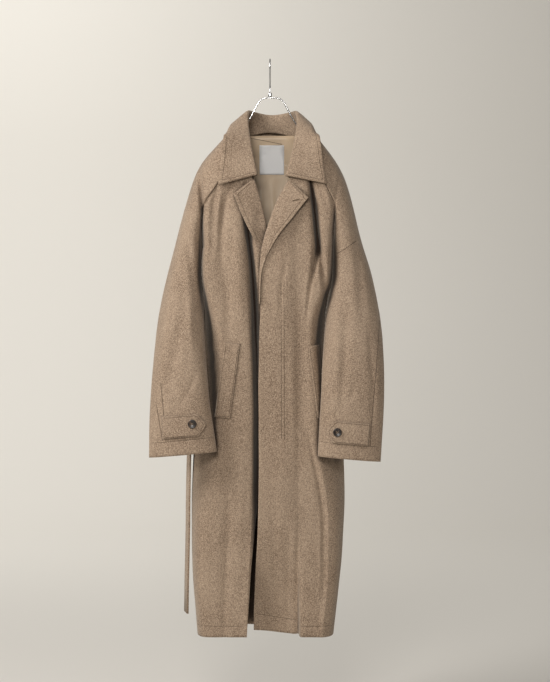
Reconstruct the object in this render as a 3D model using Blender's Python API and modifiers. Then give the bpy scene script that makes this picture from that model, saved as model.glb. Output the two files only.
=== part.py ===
"""Long raglan coat with a turned collar, hung on a wire hanger. Metres, +Z up, front towards -Y.

The origin is the inside of the hook's crest. Left and right are the wearer's, so left is +X.
Each cloth piece is a grid laid over a surface point(across, along), then given a wall.
"""
import math

import bmesh
import bpy
from mathutils import Vector

# Driving dimensions
WALL = 0.0025            # melton cloth
COLLAR_WALL = 0.003      # two plies of it
LINING_WALL = 0.0012
SEAM = 0.0003            # what neighbouring pieces keep between them
HEM_Z = -1.364
UNDERARM_Z = -0.540
NECK_Z = -0.180
V_Z = -0.412             # where the lapels cross
WIRE = 0.0019            # hanger wire, radius
HOOK_RADIUS = 0.017
LEFT = 1
RIGHT = -1

# Outline of the body: sides, depth, and how its front corners turn away beneath the sleeves
BODY = {
    "z": (-0.180, -0.240, -0.300, -0.345, -0.420, -0.540, -0.620, -0.730, -0.830, -0.940, -1.040,
          -1.200, -1.364),
    "right_side": (0.088, 0.101, 0.118, 0.155, 0.160, 0.156, 0.148, 0.160, 0.174, 0.183, 0.187, 0.186,
                   0.173),
    "left_side": (0.092, 0.108, 0.126, 0.152, 0.149, 0.142, 0.126, 0.148, 0.166, 0.176, 0.179, 0.170,
                  0.152),
    "front": (0.046, 0.064, 0.073, 0.078, 0.083, 0.087, 0.088, 0.089, 0.090, 0.090, 0.090, 0.090,
              0.090),
    "back": (0.066, 0.078, 0.084, 0.086, 0.088, 0.090, 0.091, 0.092, 0.093, 0.094, 0.094, 0.094, 0.094),
    "sunk": (0.00, 0.00, 0.00, 0.12, 0.50, 1.00, 1.00, 1.00, 1.00, 1.00, 1.00, 1.00, 1.00),
    "turn": (0.008, 0.010, 0.012, 0.012, 0.014, 0.016, 0.028, 0.046, 0.054, 0.056, 0.044, 0.036, 0.030),
    "flat": (0.0, 0.0, 0.5, 0.6, 0.3, 0.4, 0.9, 1.0, 1.0, 0.9, 0.4, 0.1, 0.0),
}

# Sleeves as flattened tubes: their inner and outer edges, their middle's place and their half depth
SLEEVE_RIGHT = {
    "z": (-0.168, -0.190, -0.240, -0.270, -0.335, -0.418, -0.520, -0.624, -0.719, -0.827, -0.935),
    "inner": (0.086, 0.090, 0.101, 0.109, 0.148, 0.160, 0.157, 0.1545, 0.1475, 0.1375, 0.1215),
    "outer": (0.095, 0.113, 0.161, 0.178, 0.199, 0.221, 0.249, 0.267, 0.275, 0.282, 0.284),
    "middle": (0.010, 0.010, 0.006, 0.004, 0.002, 0.002, 0.000, -0.050, -0.089, -0.110, -0.119),
    "depth": (0.046, 0.050, 0.056, 0.060, 0.064, 0.070, 0.076, 0.064, 0.050, 0.039, 0.030),
}
SLEEVE_LEFT = {
    "z": (-0.168, -0.190, -0.240, -0.270, -0.335, -0.418, -0.520, -0.624, -0.719, -0.827, -0.945),
    "inner": (0.090, 0.095, 0.108, 0.117, 0.149, 0.147, 0.138, 0.129, 0.1215, 0.1165, 0.1095),
    "outer": (0.100, 0.118, 0.157, 0.175, 0.196, 0.215, 0.247, 0.264, 0.270, 0.268, 0.2595),
    "middle": (0.010, 0.010, 0.006, 0.004, 0.002, 0.002, 0.000, -0.050, -0.089, -0.110, -0.119),
    "depth": (0.046, 0.050, 0.056, 0.060, 0.064, 0.070, 0.076, 0.064, 0.050, 0.039, 0.030),
}
CUFF_SLOPE = {RIGHT: 0.014, LEFT: 0.014}
HEM_RISE = 0.006

# Collar, from the right front end round the back of the neck to the left front end: its seam to the
# neck, the fold at its top, and the fall's free edge
COLLAR = {
    "place": (0.00, 0.10, 0.20, 0.30, 0.40, 0.50, 0.60, 0.70, 0.80, 0.90, 1.00),
    "neck": ((-0.0390, -0.0610, -0.288), (-0.0520, -0.0480, -0.236), (-0.0640, -0.0330, -0.186),
             (-0.0870, 0.0040, -0.178), (-0.0680, 0.0590, -0.1785), (0.0020, 0.0610, -0.1785),
             (0.0720, 0.0590, -0.1785), (0.0920, 0.0040, -0.178), (0.0740, -0.0330, -0.186),
             (0.0620, -0.0480, -0.236), (0.0450, -0.0610, -0.288)),
    "fold": ((-0.0280, -0.0790, -0.282), (-0.0385, -0.0690, -0.230), (-0.0490, -0.0420, -0.170),
             (-0.0505, -0.0020, -0.1230), (-0.0370, 0.0450, -0.1180), (0.0040, 0.0700, -0.1225),
             (0.0470, 0.0450, -0.1190), (0.0625, -0.0020, -0.1240), (0.0610, -0.0420, -0.171),
             (0.0500, -0.0690, -0.233), (0.0355, -0.0790, -0.284)),
    "outer": ((-0.1215, -0.0860, -0.3065), (-0.1150, -0.0770, -0.250), (-0.1100, -0.0750, -0.192),
              (-0.1060, 0.0000, -0.162), (-0.0960, 0.0740, -0.178), (0.0020, 0.0850, -0.208),
              (0.1010, 0.0740, -0.178), (0.1110, 0.0000, -0.161), (0.1175, -0.0750, -0.192),
              (0.1245, -0.0770, -0.250), (0.1325, -0.0860, -0.3035)),
}
COLLAR_ROLL = 0.0055
COLLAR_BULGE = 0.0075
COLLAR_COLUMNS = 25

# Lapels down their roll lines: where each row meets the roll, and its free edge
LAPEL_ROWS = 11
LAPEL_RIGHT = {
    "place":  (0.00, 0.30, 0.55, 0.80, 1.00),
    "roll_z": (-0.292, -0.360, -0.418, -0.470, -0.505),
    "free_x": (-0.0850, -0.0600, -0.0370, -0.0050, 0.0210),
    "free_z": (-0.327, -0.388, -0.433, -0.484, -0.508),
    "lift":   (0.010, 0.007, 0.002, 0.000, 0.000),
}
LAPEL_LEFT = {
    "place":  (0.00, 0.30, 0.55, 0.75, 1.00),
    "roll_z": (-0.294, -0.365, -0.425, -0.480, -0.585),
    "free_x": (0.0900, 0.0480, 0.0160, -0.0070, -0.0165),
    "free_z": (-0.336, -0.390, -0.430, -0.482, -0.586),
    "lift":   (0.010, 0.008, 0.005, 0.002, 0.000),
}

POCKET_HALF_WIDTH = 0.019
POCKETS = {RIGHT: ((-0.0876, -0.676), (-0.1110, -0.852)), LEFT: ((0.1070, -0.682), (0.1300, -0.852))}
CUFF_TAB_HALF_WIDTH = 0.026
CUFF_TAB_POINT = 0.016
CUFF_TAB_LIFT = 0.0010
BUTTON_LIFT = 0.0012
CUFF_TABS = {RIGHT: ((-0.2480, -0.8720), (-0.1465, -0.8640)), LEFT: ((0.2290, -0.8885), (0.1290, -0.8795))}
CUFF_BUTTONS = {RIGHT: (-0.1785, -0.8624), LEFT: (0.1553, -0.8818)}

BELT_HALF_WIDTH = 0.0225
BELT_WALL = 0.004
BELT_Z = -0.740
BELT_ENDS = {RIGHT: -1.320, LEFT: -0.925}
BELT_HANG = {RIGHT: (0.193, 0.202), LEFT: (0.175, 0.187)}      # x below the loop and at the end
BELT_TWIST = 0.14        # how far a hanging end turns its face to the front
BELT_STAND = 0.007
POCKET_LIFT = 0.0007
BELT_BACK_GAP = 0.014      # between the back and the belt across it
BELT_ROUND = 0.040
BELT_HANG_Y = 0.000
HANGER_SHIFT = 0.003
# One half of the hanger's wire above the coat, from the shoulder seam up to the ferrule
HANGER_NECK = ((0.096, 0.005, -0.1945), (0.072, 0.003, -0.170), (0.051, 0.001, -0.140),
               (0.036, 0.0, -0.112), (0.028, 0.0, -0.0985))
LOOP_WALL = 0.0025
LOOP_HALF_HEIGHT = 0.040
LOOP_Y = (0.032, 0.042)
LOOP_STATIONS = (0.0, 0.055, 0.11, 0.165, 0.33, 0.5, 0.67, 0.835, 0.89, 0.945, 1.0)

LINING_ROWS = 12
LABEL_X = 0.004
LABEL_TOP = -0.1965
LABEL_WIDTH = 0.060
LABEL_HEIGHT = 0.070
LABEL_WALL = 0.0008
LABEL_LIFT = 0.0006

FERRULE_TOP = -0.0785
FERRULE_HEIGHT = 0.010

# Folds and edges of the two fronts, in world x. The spread column narrows the folds towards the neck.
FRONT_RIGHT = {
    "z": (-0.180, -0.229, -0.282, -0.349, -0.408, -0.459, -0.507, -0.600, -0.740, -0.880, -1.034,
          -1.183, -1.364),
    "edge": (-0.063, -0.056, -0.044, -0.024, -0.010, 0.008, 0.030, 0.022, 0.008, -0.006, -0.026,
             -0.042, -0.054),
    "valley": (-0.070, -0.066, -0.060, -0.057, -0.053, -0.046, -0.041, -0.034, -0.031, -0.029, -0.037,
               -0.053, -0.066),
    "deep": (0.000, 0.000, 0.002, 0.008, 0.026, 0.034, 0.036, 0.034, 0.030, 0.024, 0.006, 0.000, 0.000),
    "soft": (-0.077, -0.080, -0.084, -0.104, -0.112, -0.112, -0.108, -0.096, -0.088, -0.088, -0.092,
             -0.100, -0.106),
    "soft_deep": (0.000, 0.000, 0.002, 0.008, 0.010, 0.009, 0.007, 0.004, 0.000, 0.000, 0.003, 0.004,
                  0.003),
    "spread": (0.15, 0.25, 0.45, 0.80, 1.00, 1.00, 1.00, 1.00, 1.00, 1.00, 0.90, 0.80, 0.70),
}
FRONT_LEFT = {
    "z": (-0.180, -0.229, -0.291, -0.340, -0.389, -0.460, -0.576, -0.740, -0.880, -1.034, -1.183,
          -1.280, -1.364),
    "edge": (0.070, 0.064, 0.048, 0.022, 0.004, -0.016, -0.021, -0.027, -0.026, -0.026, -0.032, -0.037,
             -0.039),
    "step": (0.074, 0.072, 0.066, 0.064, 0.064, 0.062, 0.062, 0.064, 0.066, 0.067, 0.068, 0.068, 0.068),
    "valley": (0.080, 0.084, 0.094, 0.101, 0.107, 0.110, 0.088, 0.078, 0.086, 0.122, 0.124, 0.122,
               0.108),
    "deep": (0.000, 0.004, 0.014, 0.024, 0.030, 0.026, 0.004, 0.000, 0.000, 0.010, 0.009, 0.006, 0.000),
    "spread": (0.15, 0.30, 0.60, 0.90, 1.00, 1.00, 0.70, 0.60, 0.70, 1.00, 1.00, 0.90, 0.80),
}
VALLEY_HALF_WIDTH = 0.011
SOFT_HALF_WIDTH = 0.017
LAP_LIFT = 0.010         # the top front's fly stands off the one beneath it
LAP_SINK = 0.008
HEM_TUCK = 0.075         # how far the top front's edge falls back at the hem
TUCK_TOP = -1.100
FLUTES = 3               # soft folds across the back
FLUTE_DEPTH = 0.005
FLUTE_TOP = -0.250
LIP = 0.0035             # half width of the step where the top front falls back


def smooth(t):
    """Ease from 0 to 1."""
    t = min(max(t, 0.0), 1.0)
    return t * t * (3 - 2 * t)


def mix(a, b, t):
    return a + (b - a) * t


def bump(distance, half_width):
    """A soft trough's cross section: 1 in its middle, 0 from its half width out."""
    t = min(abs(distance) / half_width, 1.0)
    return 0.5 + 0.5 * math.cos(math.pi * t)


def through(places, values, place):
    """The value at a place, on a smooth curve through the given ones. Places run up or down."""
    down = places[0] > places[-1]
    before = (lambda a, b: a >= b) if down else (lambda a, b: a <= b)
    if before(place, places[0]):
        return values[0]
    if before(places[-1], place):
        return values[-1]
    last = len(places) - 1
    k = next(i for i in range(last) if before(place, places[i + 1]))

    def slope(i):
        a, b = max(i - 1, 0), min(i + 1, last)
        return (values[b] - values[a]) * (1 / (places[b] - places[a]))
    span = places[k + 1] - places[k]
    t = (place - places[k]) / span
    rise = values[k + 1] - values[k]
    return (values[k] + rise * (3 * t * t - 2 * t ** 3)
            + slope(k) * span * (t - 2 * t * t + t ** 3) + slope(k + 1) * span * (t ** 3 - t * t))


def at(table, column, z):
    return through(table["z"], table[column], z)


def sunk_at(z):
    """0 where sleeve and body are one smooth round, 1 where they are apart."""
    return min(max(at(BODY, "sunk", z), 0.0), 1.0)


def side_x(side, z):
    """Where the body's side, or above the underarm its raglan seam, lies."""
    return side * at(BODY, "left_side" if side == LEFT else "right_side", z)


def turned_corner(start, corner, end, flat, steps):
    """A bend from start to end around a corner; flat 0 is round, 1 straight, above 1 hollow."""
    chord = (Vector(start) + Vector(end)) / 2
    handle = Vector(corner).lerp(chord, flat)
    points = []
    for i in range(1, steps + 1):
        t = i / steps
        points.append(Vector(start) * (1 - t) ** 2 + handle * 2 * t * (1 - t) + Vector(end) * t * t)
    return points


def front_columns(side, z):
    """World x of a front's columns, from its edge to where it starts to turn to the side."""
    table = FRONT_LEFT if side == LEFT else FRONT_RIGHT
    edge = at(table, "edge", z)
    spread = at(table, "spread", z)
    valley = at(table, "valley", z)
    half = VALLEY_HALF_WIDTH * spread
    turn = side_x(side, z) - side * at(BODY, "turn", z)
    if side == LEFT:
        step = at(table, "step", z)
        lip = LIP * spread
        end = max(turn, valley + half + 0.002)
        return [edge, mix(edge, step, 0.25), mix(edge, step, 0.5), mix(edge, step, 0.75), step - lip,
                step, step + lip, mix(step, valley, 0.35), valley - half, valley - half / 2, valley,
                valley + half / 2, valley + half, end]
    soft = at(table, "soft", z)
    wide = SOFT_HALF_WIDTH * spread
    end = min(turn, soft - wide - 0.002)
    return [edge, mix(edge, valley + half, 0.5), valley + half, valley + half / 2, valley, valley - half / 2,
            valley - half, mix(valley - half, soft + wide, 0.5), soft + wide, soft + wide / 2, soft,
            soft - wide / 2, soft - wide, end]


def lap(side, x, z):
    """Where the fronts cross, the top one stands forward and the one beneath lies back."""
    crossed = smooth((-0.280 - z) / 0.120)
    if side == RIGHT:
        return LAP_SINK * smooth((x + 0.040) / 0.014) * crossed
    return -LAP_LIFT * smooth((0.070 - x) / 0.040) * crossed


def front_relief(side, x, z):
    """How far the front lies back from its plain face, by its folds, its lap and the tuck at its hem."""
    table = FRONT_LEFT if side == LEFT else FRONT_RIGHT
    spread = at(table, "spread", z)
    relief = at(table, "deep", z) * bump(x - at(table, "valley", z), VALLEY_HALF_WIDTH * spread)
    if side == RIGHT:
        relief += at(table, "soft_deep", z) * bump(x - at(table, "soft", z), SOFT_HALF_WIDTH * spread)
        return relief + lap(side, x, z)
    relief += lap(side, x, z)
    tucked = smooth((TUCK_TOP - z) / (TUCK_TOP - HEM_Z))
    step = at(table, "step", z)
    lip = LIP * spread
    recess = smooth((step + lip - x) / (2 * lip)) * mix(0.72, 1.0, smooth((step - x) / 0.100))
    return relief + HEM_TUCK * tucked * recess


def front_row(side, z):
    """A front's section at a height: from its edge over its folds, round the corner to the seam."""
    face = -at(BODY, "front", z)
    xs = front_columns(side, z)
    row = [Vector((x, face + front_relief(side, x, z))) for x in xs]
    sunk = sunk_at(z)
    seam_x = side_x(side, z) - side * SEAM
    seam = Vector((seam_x, mix(face, 0.0, sunk) - SEAM))
    corner_x = seam_x - side * 0.003 * (1 - sunk)
    upright = Vector((corner_x, seam.y - 0.012 * sunk))
    bend = turned_corner(row[-1], (corner_x, face), upright, at(BODY, "flat", z), 4)
    return row + bend + [seam]


def back_row(z, columns=15):
    """The back's section from right seam to left: broad soft flutes that open towards the hem."""
    face = at(BODY, "back", z)
    sunk = sunk_at(z)
    ends = [side_x(side, z) - side * SEAM for side in (RIGHT, LEFT)]
    turn = 0.012 + 0.026 * sunk
    seam_y = mix(face, 0.0, sunk) + SEAM
    row = []
    for i in range(columns):
        t = i / (columns - 1)
        x = mix(ends[0] + turn, ends[1] - turn, t)
        flute = FLUTE_DEPTH * smooth((FLUTE_TOP - z) / 0.500) * smooth(min(t, 1 - t) / 0.12)
        flute *= math.cos(2 * math.pi * FLUTES * t + 0.6)
        row.append(Vector((x, face + flute)))
    flat = mix(0.9, 0.1, smooth(sunk / 0.4))
    right = turned_corner(row[0], (ends[0], face), (ends[0], seam_y), flat, 4)
    left = turned_corner(row[-1], (ends[1], face), (ends[1], seam_y), flat, 4)
    return right[::-1] + row + left


def catmull(points, steps, joined=0.0):
    """A smooth curve through the points, a few steps from one to the next; joined 1 closes it."""
    first = (2 * points[0] - points[1]).lerp(points[-2], joined)
    last = (2 * points[-1] - points[-2]).lerp(points[1], joined)
    padded = [first] + points + [last]
    curve = [points[0].copy()]
    for i in range(1, len(padded) - 2):
        a, b, c, d = padded[i - 1:i + 3]
        for k in range(1, steps + 1):
            t = k / steps
            curve.append(0.5 * (2 * b + (c - a) * t + (2 * a - 5 * b + 4 * c - d) * t * t
                                + (3 * b - a - 3 * c + d) * t ** 3))
    return curve


def sleeve_row(side, z):
    """A sleeve's section: from the front raglan seam round the outside to the back one.

    Below the underarm both ends meet, and the section is a closed, flattened tube.
    """
    table = SLEEVE_LEFT if side == LEFT else SLEEVE_RIGHT
    sunk = sunk_at(z)
    seam = abs(side_x(side, z)) + SEAM
    lower = smooth((NECK_Z - z) / 0.080)
    near = mix(0.34, 0.10, lower)
    half_way = mix(0.60, 0.40, lower)
    below = smooth((UNDERARM_Z - z) / 0.060)
    inner = mix(seam, at(table, "inner", z), below)
    outer = at(table, "outer", z)
    middle = at(table, "middle", z)
    depth = at(table, "depth", z)
    front_seam = mix(-at(BODY, "front", z), middle, sunk)
    back_seam = mix(at(BODY, "back", z), middle, sunk)
    lip = mix(1.0, 0.74, sunk)
    back_depth = mix(at(BODY, "back", z) - middle, depth, sunk)
    front_depth = mix(at(BODY, "front", z) + middle, depth, sunk)
    crest = mix(0.90, 1.0, sunk)
    shoulder = mix(0.66, 0.80, sunk)
    points = [Vector((inner, front_seam)),
              Vector((mix(inner, outer, near), middle - front_depth * lip)),
              Vector((mix(inner, outer, half_way), middle - front_depth * crest)),
              Vector((mix(inner, outer, 0.80), middle - front_depth * shoulder)),
              Vector((outer, middle)),
              Vector((mix(inner, outer, 0.80), middle + back_depth * shoulder)),
              Vector((mix(inner, outer, half_way), middle + back_depth * crest)),
              Vector((mix(inner, outer, near), middle + back_depth * lip)),
              Vector((inner, back_seam))]
    return [Vector((side * p.x, p.y)) for p in catmull(points, 2, sunk)]


def height_over(row, x):
    """The y of a section at a world x, along the stretch that faces the front."""
    for a, b in zip(row, row[1:]):
        if min(a.x, b.x) <= x <= max(a.x, b.x) and a.x != b.x:
            return mix(a.y, b.y, (x - a.x) / (b.x - a.x))
    return row[0].y if abs(x - row[0].x) < abs(x - row[-1].x) else row[-1].y


PANELS = {}


def material(name, colour, roughness, metallic=0.0):
    made = bpy.data.materials.new(name)
    made.use_nodes = True
    shader = made.node_tree.nodes["Principled BSDF"]
    shader.inputs["Base Color"].default_value = (*colour, 1.0)
    shader.inputs["Roughness"].default_value = roughness
    shader.inputs["Metallic"].default_value = metallic
    return made


def finish_mesh(name, mesh_data, finish):
    """Put a bmesh into a named object in the coat's collection."""
    mesh = bpy.data.meshes.new(name)
    mesh_data.to_mesh(mesh)
    mesh_data.free()
    mesh.shade_smooth()
    made = bpy.data.objects.new(name, mesh)
    mesh.materials.append(finish)
    coat.objects.link(made)
    return made


def cloth(name, rows, wall, finish, facing, tube_below=None):
    """A panel laid through rows of points, with its wall on the side away from its face.

    Facing is the way that most of the face looks. Rows below tube_below have their two ends joined.
    """
    across, down = len(rows[0]), len(rows)
    grid = bmesh.new()
    bmesh.ops.create_grid(grid, x_segments=across - 1, y_segments=down - 1, size=0.5)
    for vert in grid.verts:
        i = round((vert.co.x + 0.5) * (across - 1))
        k = round((vert.co.y + 0.5) * (down - 1))
        vert.co = rows[k][i]
    if tube_below is not None:
        ends = [v for v in grid.verts if len(v.link_faces) < 4 and v.co.z < tube_below]
        bmesh.ops.remove_doubles(grid, verts=ends, dist=0.00005)
    grid.normal_update()
    if sum(f.normal.dot(Vector(facing)) * f.calc_area() for f in grid.faces) < 0:
        bmesh.ops.reverse_faces(grid, faces=grid.faces)
    made = finish_mesh(name, grid, finish)
    thick = made.modifiers.new("wall", "SOLIDIFY")
    thick.thickness = wall
    thick.offset = -1.0
    thick.use_even_offset = True
    return made


def tube(name, points, radius, finish):
    curve = bpy.data.curves.new(name, "CURVE")
    curve.dimensions = "3D"
    curve.bevel_depth = radius
    curve.bevel_resolution = 2
    curve.use_fill_caps = True
    spline = curve.splines.new("POLY")
    spline.points.add(len(points) - 1)
    for target, point in zip(spline.points, points):
        target.co = (*point, 1.0)
    made = bpy.data.objects.new(name, curve)
    curve.materials.append(finish)
    coat.objects.link(made)
    return made


def spaced(start, end, count):
    return [mix(start, end, i / (count - 1)) for i in range(count)]


def lifted(row, z):
    return [Vector((p.x, p.y, z)) for p in row]


UPPER_ROWS = spaced(NECK_Z, V_Z, 8) + spaced(V_Z, UNDERARM_Z, 4)[1:]


def build_front(side):
    heights = UPPER_ROWS + spaced(UNDERARM_Z, TUCK_TOP, 9)[1:] + spaced(TUCK_TOP, HEM_Z, 6)[1:]
    rows = []
    for z in heights:
        row = lifted(front_row(side, z), z)
        if side == LEFT:
            tucked = smooth((TUCK_TOP - z) / (TUCK_TOP - HEM_Z))
            for p in row:
                p.z += HEM_RISE * tucked * smooth((0.070 - p.x) / 0.100)
        rows.append(row)
    name = "front_left" if side == LEFT else "front_right"
    PANELS[name] = rows
    return cloth(name, rows, WALL, wool, facing=(0, -1, 0))


def build_back():
    heights = UPPER_ROWS + spaced(UNDERARM_Z, HEM_Z, 12)[1:]
    PANELS["back"] = [lifted(back_row(z), z) for z in heights]
    return cloth("back", PANELS["back"], WALL, wool, facing=(0, 1, 0))


def build_sleeve(side):
    table = SLEEVE_LEFT if side == LEFT else SLEEVE_RIGHT
    cuff = table["z"][-1]
    heights = UPPER_ROWS + spaced(UNDERARM_Z, cuff, 10)[1:]
    middle = (at(table, "inner", cuff) + at(table, "outer", cuff)) / 2
    rows = []
    for z in heights:
        row = lifted(sleeve_row(side, z), z)
        tilt = smooth((UNDERARM_Z - z) / (UNDERARM_Z - cuff)) * CUFF_SLOPE[side]
        for p in row:
            p.z -= tilt * (abs(p.x) - middle) / 0.16
        rows.append(row)
    name = "sleeve_left" if side == LEFT else "sleeve_right"
    PANELS[name] = rows
    return cloth(name, rows, WALL, wool, tube_below=UNDERARM_Z + 0.001, facing=(side, 0, 0))


def build_collar():
    count = COLLAR_COLUMNS
    lines = {}
    for line in ("neck", "fold", "outer"):
        table = COLLAR[line]
        lines[line] = [Vector([through(COLLAR["place"], [row[k] for row in table], i / (count - 1))
                               for k in range(3)]) for i in range(count)]
    columns = []
    for neck, fold, outer in zip(lines["neck"], lines["fold"], lines["outer"]):
        upward = (fold - (neck + outer) / 2).normalized()
        outward = outer - neck
        outward = (outward - outward.dot(upward) * upward).normalized()
        centre = fold - upward * COLLAR_ROLL
        inner = centre - outward * COLLAR_ROLL
        column = [neck.lerp(inner, t) for t in (0.0, 0.33, 0.67, 1.0)]
        for angle in (45, 90, 135, 180):
            turn = math.radians(angle)
            column.append(centre + COLLAR_ROLL * (upward * math.sin(turn) - outward * math.cos(turn)))
        start = column[-1]
        for t in (0.2, 0.4, 0.6, 0.8, 1.0):
            column.append(start.lerp(outer, t) + upward * COLLAR_BULGE * 4 * t * (1 - t))
        columns.append(column)
    return cloth("collar", columns, COLLAR_WALL, wool, facing=(0, 0, 1))


def build_facing(side):
    """A lapel: from its free edge over the roll line and a little way inside the front."""
    table = LAPEL_LEFT if side == LEFT else LAPEL_RIGHT
    gap = WALL + 4 * SEAM
    rows = []
    for i in range(LAPEL_ROWS):
        t = i / (LAPEL_ROWS - 1)
        roll_z, free_x, free_z, lift = [through(table["place"], table[c], t)
                                        for c in ("roll_z", "free_x", "free_z", "lift")]
        roll_x = at(FRONT_LEFT if side == LEFT else FRONT_RIGHT, "edge", roll_z)

        def plain(x, z):
            return -at(BODY, "front", z) + lap(side, x, z)
        row = []
        for s in (0.0, 0.17, 0.34, 0.51, 0.68, 0.85, 1.0):
            x, z = mix(free_x, roll_x, s), mix(free_z, roll_z, s)
            row.append(Vector((x, plain(x, z) - gap - lift * (1 - s) - 0.0004, z)))
        face = plain(roll_x, roll_z)
        inside = WALL + gap
        middle = face + (inside - gap) / 2
        radius = (inside + gap) / 2
        for angle in (36, 72, 108, 144, 180):
            turn = math.radians(angle)
            row.append(Vector((roll_x - side * radius * math.sin(turn) * 1.1,
                               middle - radius * math.cos(turn), roll_z)))
        row.append(Vector((roll_x + side * 0.008, face + inside + 0.0003, roll_z)))
        row.append(Vector((roll_x + side * 0.016, face + inside + 0.0008, roll_z)))
        rows.append(row)
    return cloth("facing_left" if side == LEFT else "facing_right", rows, WALL, wool, facing=(0, -1, 0))


def steepness(height, place):
    """How much longer a step along y is than one square to the face."""
    step = 0.004
    here = height(place.x, place.y)
    sideways = (height(place.x + step, place.y) - here) / step
    down = (height(place.x, place.y - step) - here) / step
    return math.sqrt(1 + sideways ** 2 + down ** 2)


def laid_patch(name, start, end, half_width, lift, wall, height, finish, point=0.0, steps=(9, 4)):
    """A strip laid along a face from start to end, both (x, z). A point narrows its far end."""
    start, end = Vector(start), Vector(end)
    length = (end - start).length
    run = (end - start) / length
    aside = Vector((-run.y, run.x))
    rows = []
    for i in range(steps[0]):
        distance = length * i / (steps[0] - 1)
        if point:
            stops = spaced(0.0, length - point, steps[0] - 3)
            stops += [length - point * f for f in (0.67, 0.33, 0.02)]
            distance = stops[i]
        half = half_width
        if point:
            half = half_width * mix(0.12, 1.0, min((length - distance) / point, 1.0))
        row = []
        for k in range(steps[1]):
            place = start + run * distance + aside * mix(-half, half, k / (steps[1] - 1))
            out = (lift + wall) * steepness(height, place)
            row.append(Vector((place.x, height(place.x, place.y) - out, place.y)))
        rows.append(row)
    return cloth(name, rows, wall, finish, facing=(0, -1, 0))


def face_of(panel, share=1.0):
    """A built panel's face as a height over x and z. A sleeve gives the front share of its round."""
    rows = PANELS[panel]
    kept = int(len(rows[0]) * share) + 1

    def height(x, z):
        middle = [row[kept // 2].z for row in rows]
        k = next((i for i in range(len(rows) - 1) if middle[i + 1] <= z), len(rows) - 2)
        t = (z - middle[k]) / (middle[k + 1] - middle[k])
        return height_over([a.lerp(b, t) for a, b in zip(rows[k][:kept], rows[k + 1][:kept])], x)
    return height


def foremost(height, reach=0.006):
    """The same face, taken where it stands furthest forward close by, so that a strip bridges its folds."""
    near = (-reach, -reach / 2, 0.0, reach / 2, reach)
    return lambda x, z: min(height(x + dx, z + dz) for dx in near for dz in near)


def build_button(side, place):
    """A cuff button: a turned disc with a raised rim, facing -Y."""
    x, z = place
    sleeve = face_of("sleeve_left" if side == LEFT else "sleeve_right", 0.5)
    back = sleeve(x, z) - CUFF_TAB_LIFT - WALL - BUTTON_LIFT
    profile = [(0.0, 0.0), (0.0085, 0.0), (0.0100, 0.0012), (0.0100, 0.0028), (0.0088, 0.0036),
               (0.0072, 0.0030), (0.0, 0.0026)]
    turned = bmesh.new()
    verts = [turned.verts.new((radius, 0.0, height)) for radius, height in profile]
    edges = [turned.edges.new(pair) for pair in zip(verts, verts[1:])]
    bmesh.ops.spin(turned, geom=verts + edges, cent=(0, 0, 0), axis=(0, 0, 1), angle=2 * math.pi, steps=24,
                   use_merge=True)
    bmesh.ops.remove_doubles(turned, verts=turned.verts, dist=0.00001)
    bmesh.ops.recalc_face_normals(turned, faces=turned.faces)
    made = finish_mesh("cuff_button_left" if side == LEFT else "cuff_button_right", turned, horn)
    made.rotation_euler = (math.radians(90), 0, 0)
    made.location = (x, back, z)
    return made


def back_side_x(side, y, z):
    """The x of the back where it rounds to a side."""
    rows = PANELS["back"]
    k = next(i for i in range(len(rows) - 1) if rows[i + 1][0].z <= z)
    t = (z - rows[k][0].z) / (rows[k + 1][0].z - rows[k][0].z)
    row = [a.lerp(b, t) for a, b in zip(rows[k], rows[k + 1])]
    if side == LEFT:
        row = row[::-1]
    for a, b in zip(row, row[1:]):
        if a.y <= y <= b.y:
            return mix(a.x, b.x, (y - a.y) / (b.y - a.y))
    return side_x(side, z)


def belt_x(side):
    """Where the belt's face lies at the side, clear of the fuller cloth below its loop."""
    return side_x(side, BELT_Z - 2 * BELT_HALF_WIDTH - 0.012) + side * BELT_STAND


def belt_path():
    """The belt's middle line with the direction of its width, from its right end to its left.

    Each end hangs on edge; it turns up into its loop at the side seam and runs across the back.
    """
    stations = []
    turn = BELT_HALF_WIDTH + 0.006
    for side in (RIGHT, LEFT):
        x = belt_x(side)
        half = []
        for t in spaced(1.0, 0.0, 10):
            hang_x = mix(x, side * mix(*BELT_HANG[side], t), smooth(t / 0.3))
            width = Vector((side * BELT_TWIST * smooth(t / 0.3), 1, 0)).normalized()
            half.append((Vector((hang_x, BELT_HANG_Y, mix(BELT_Z - turn, BELT_ENDS[side], t))), width))
        for angle in (22, 45, 68, 90):
            bend = math.radians(angle)
            centre = Vector((x, BELT_HANG_Y + turn, BELT_Z - turn))
            half.append((centre + Vector((0, -turn * math.cos(bend), turn * math.sin(bend))),
                         Vector((0, math.cos(bend), -math.sin(bend)))))
        round_y = at(BODY, "back", BELT_Z) + BELT_BACK_GAP - BELT_ROUND
        half.append((Vector((x, mix(BELT_HANG_Y + turn, round_y, 0.7), BELT_Z)), Vector((0, 0, -1))))
        for angle in (0, 30, 60, 90):
            bend = math.radians(angle)
            inward = side * BELT_ROUND * (1 - math.cos(bend))
            middle = Vector((x - inward, round_y + BELT_ROUND * math.sin(bend), BELT_Z))
            half.append((middle, Vector((0, 0, -1))))
        stations.append(half)
    right, left = stations
    start, end = right[-1][0], left[-1][0]
    across = [(start.lerp(end, t), Vector((0, 0, -1))) for t in spaced(0.0, 1.0, 9)[1:-1]]
    return right + across + left[::-1]


def build_belt():
    rows = []
    for middle, width in belt_path():
        rows.append([middle + width * (BELT_HALF_WIDTH * t) for t in (-1.0, -0.33, 0.33, 1.0)])
    return cloth("belt", rows, BELT_WALL, wool, facing=(0, 1, 0))


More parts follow.
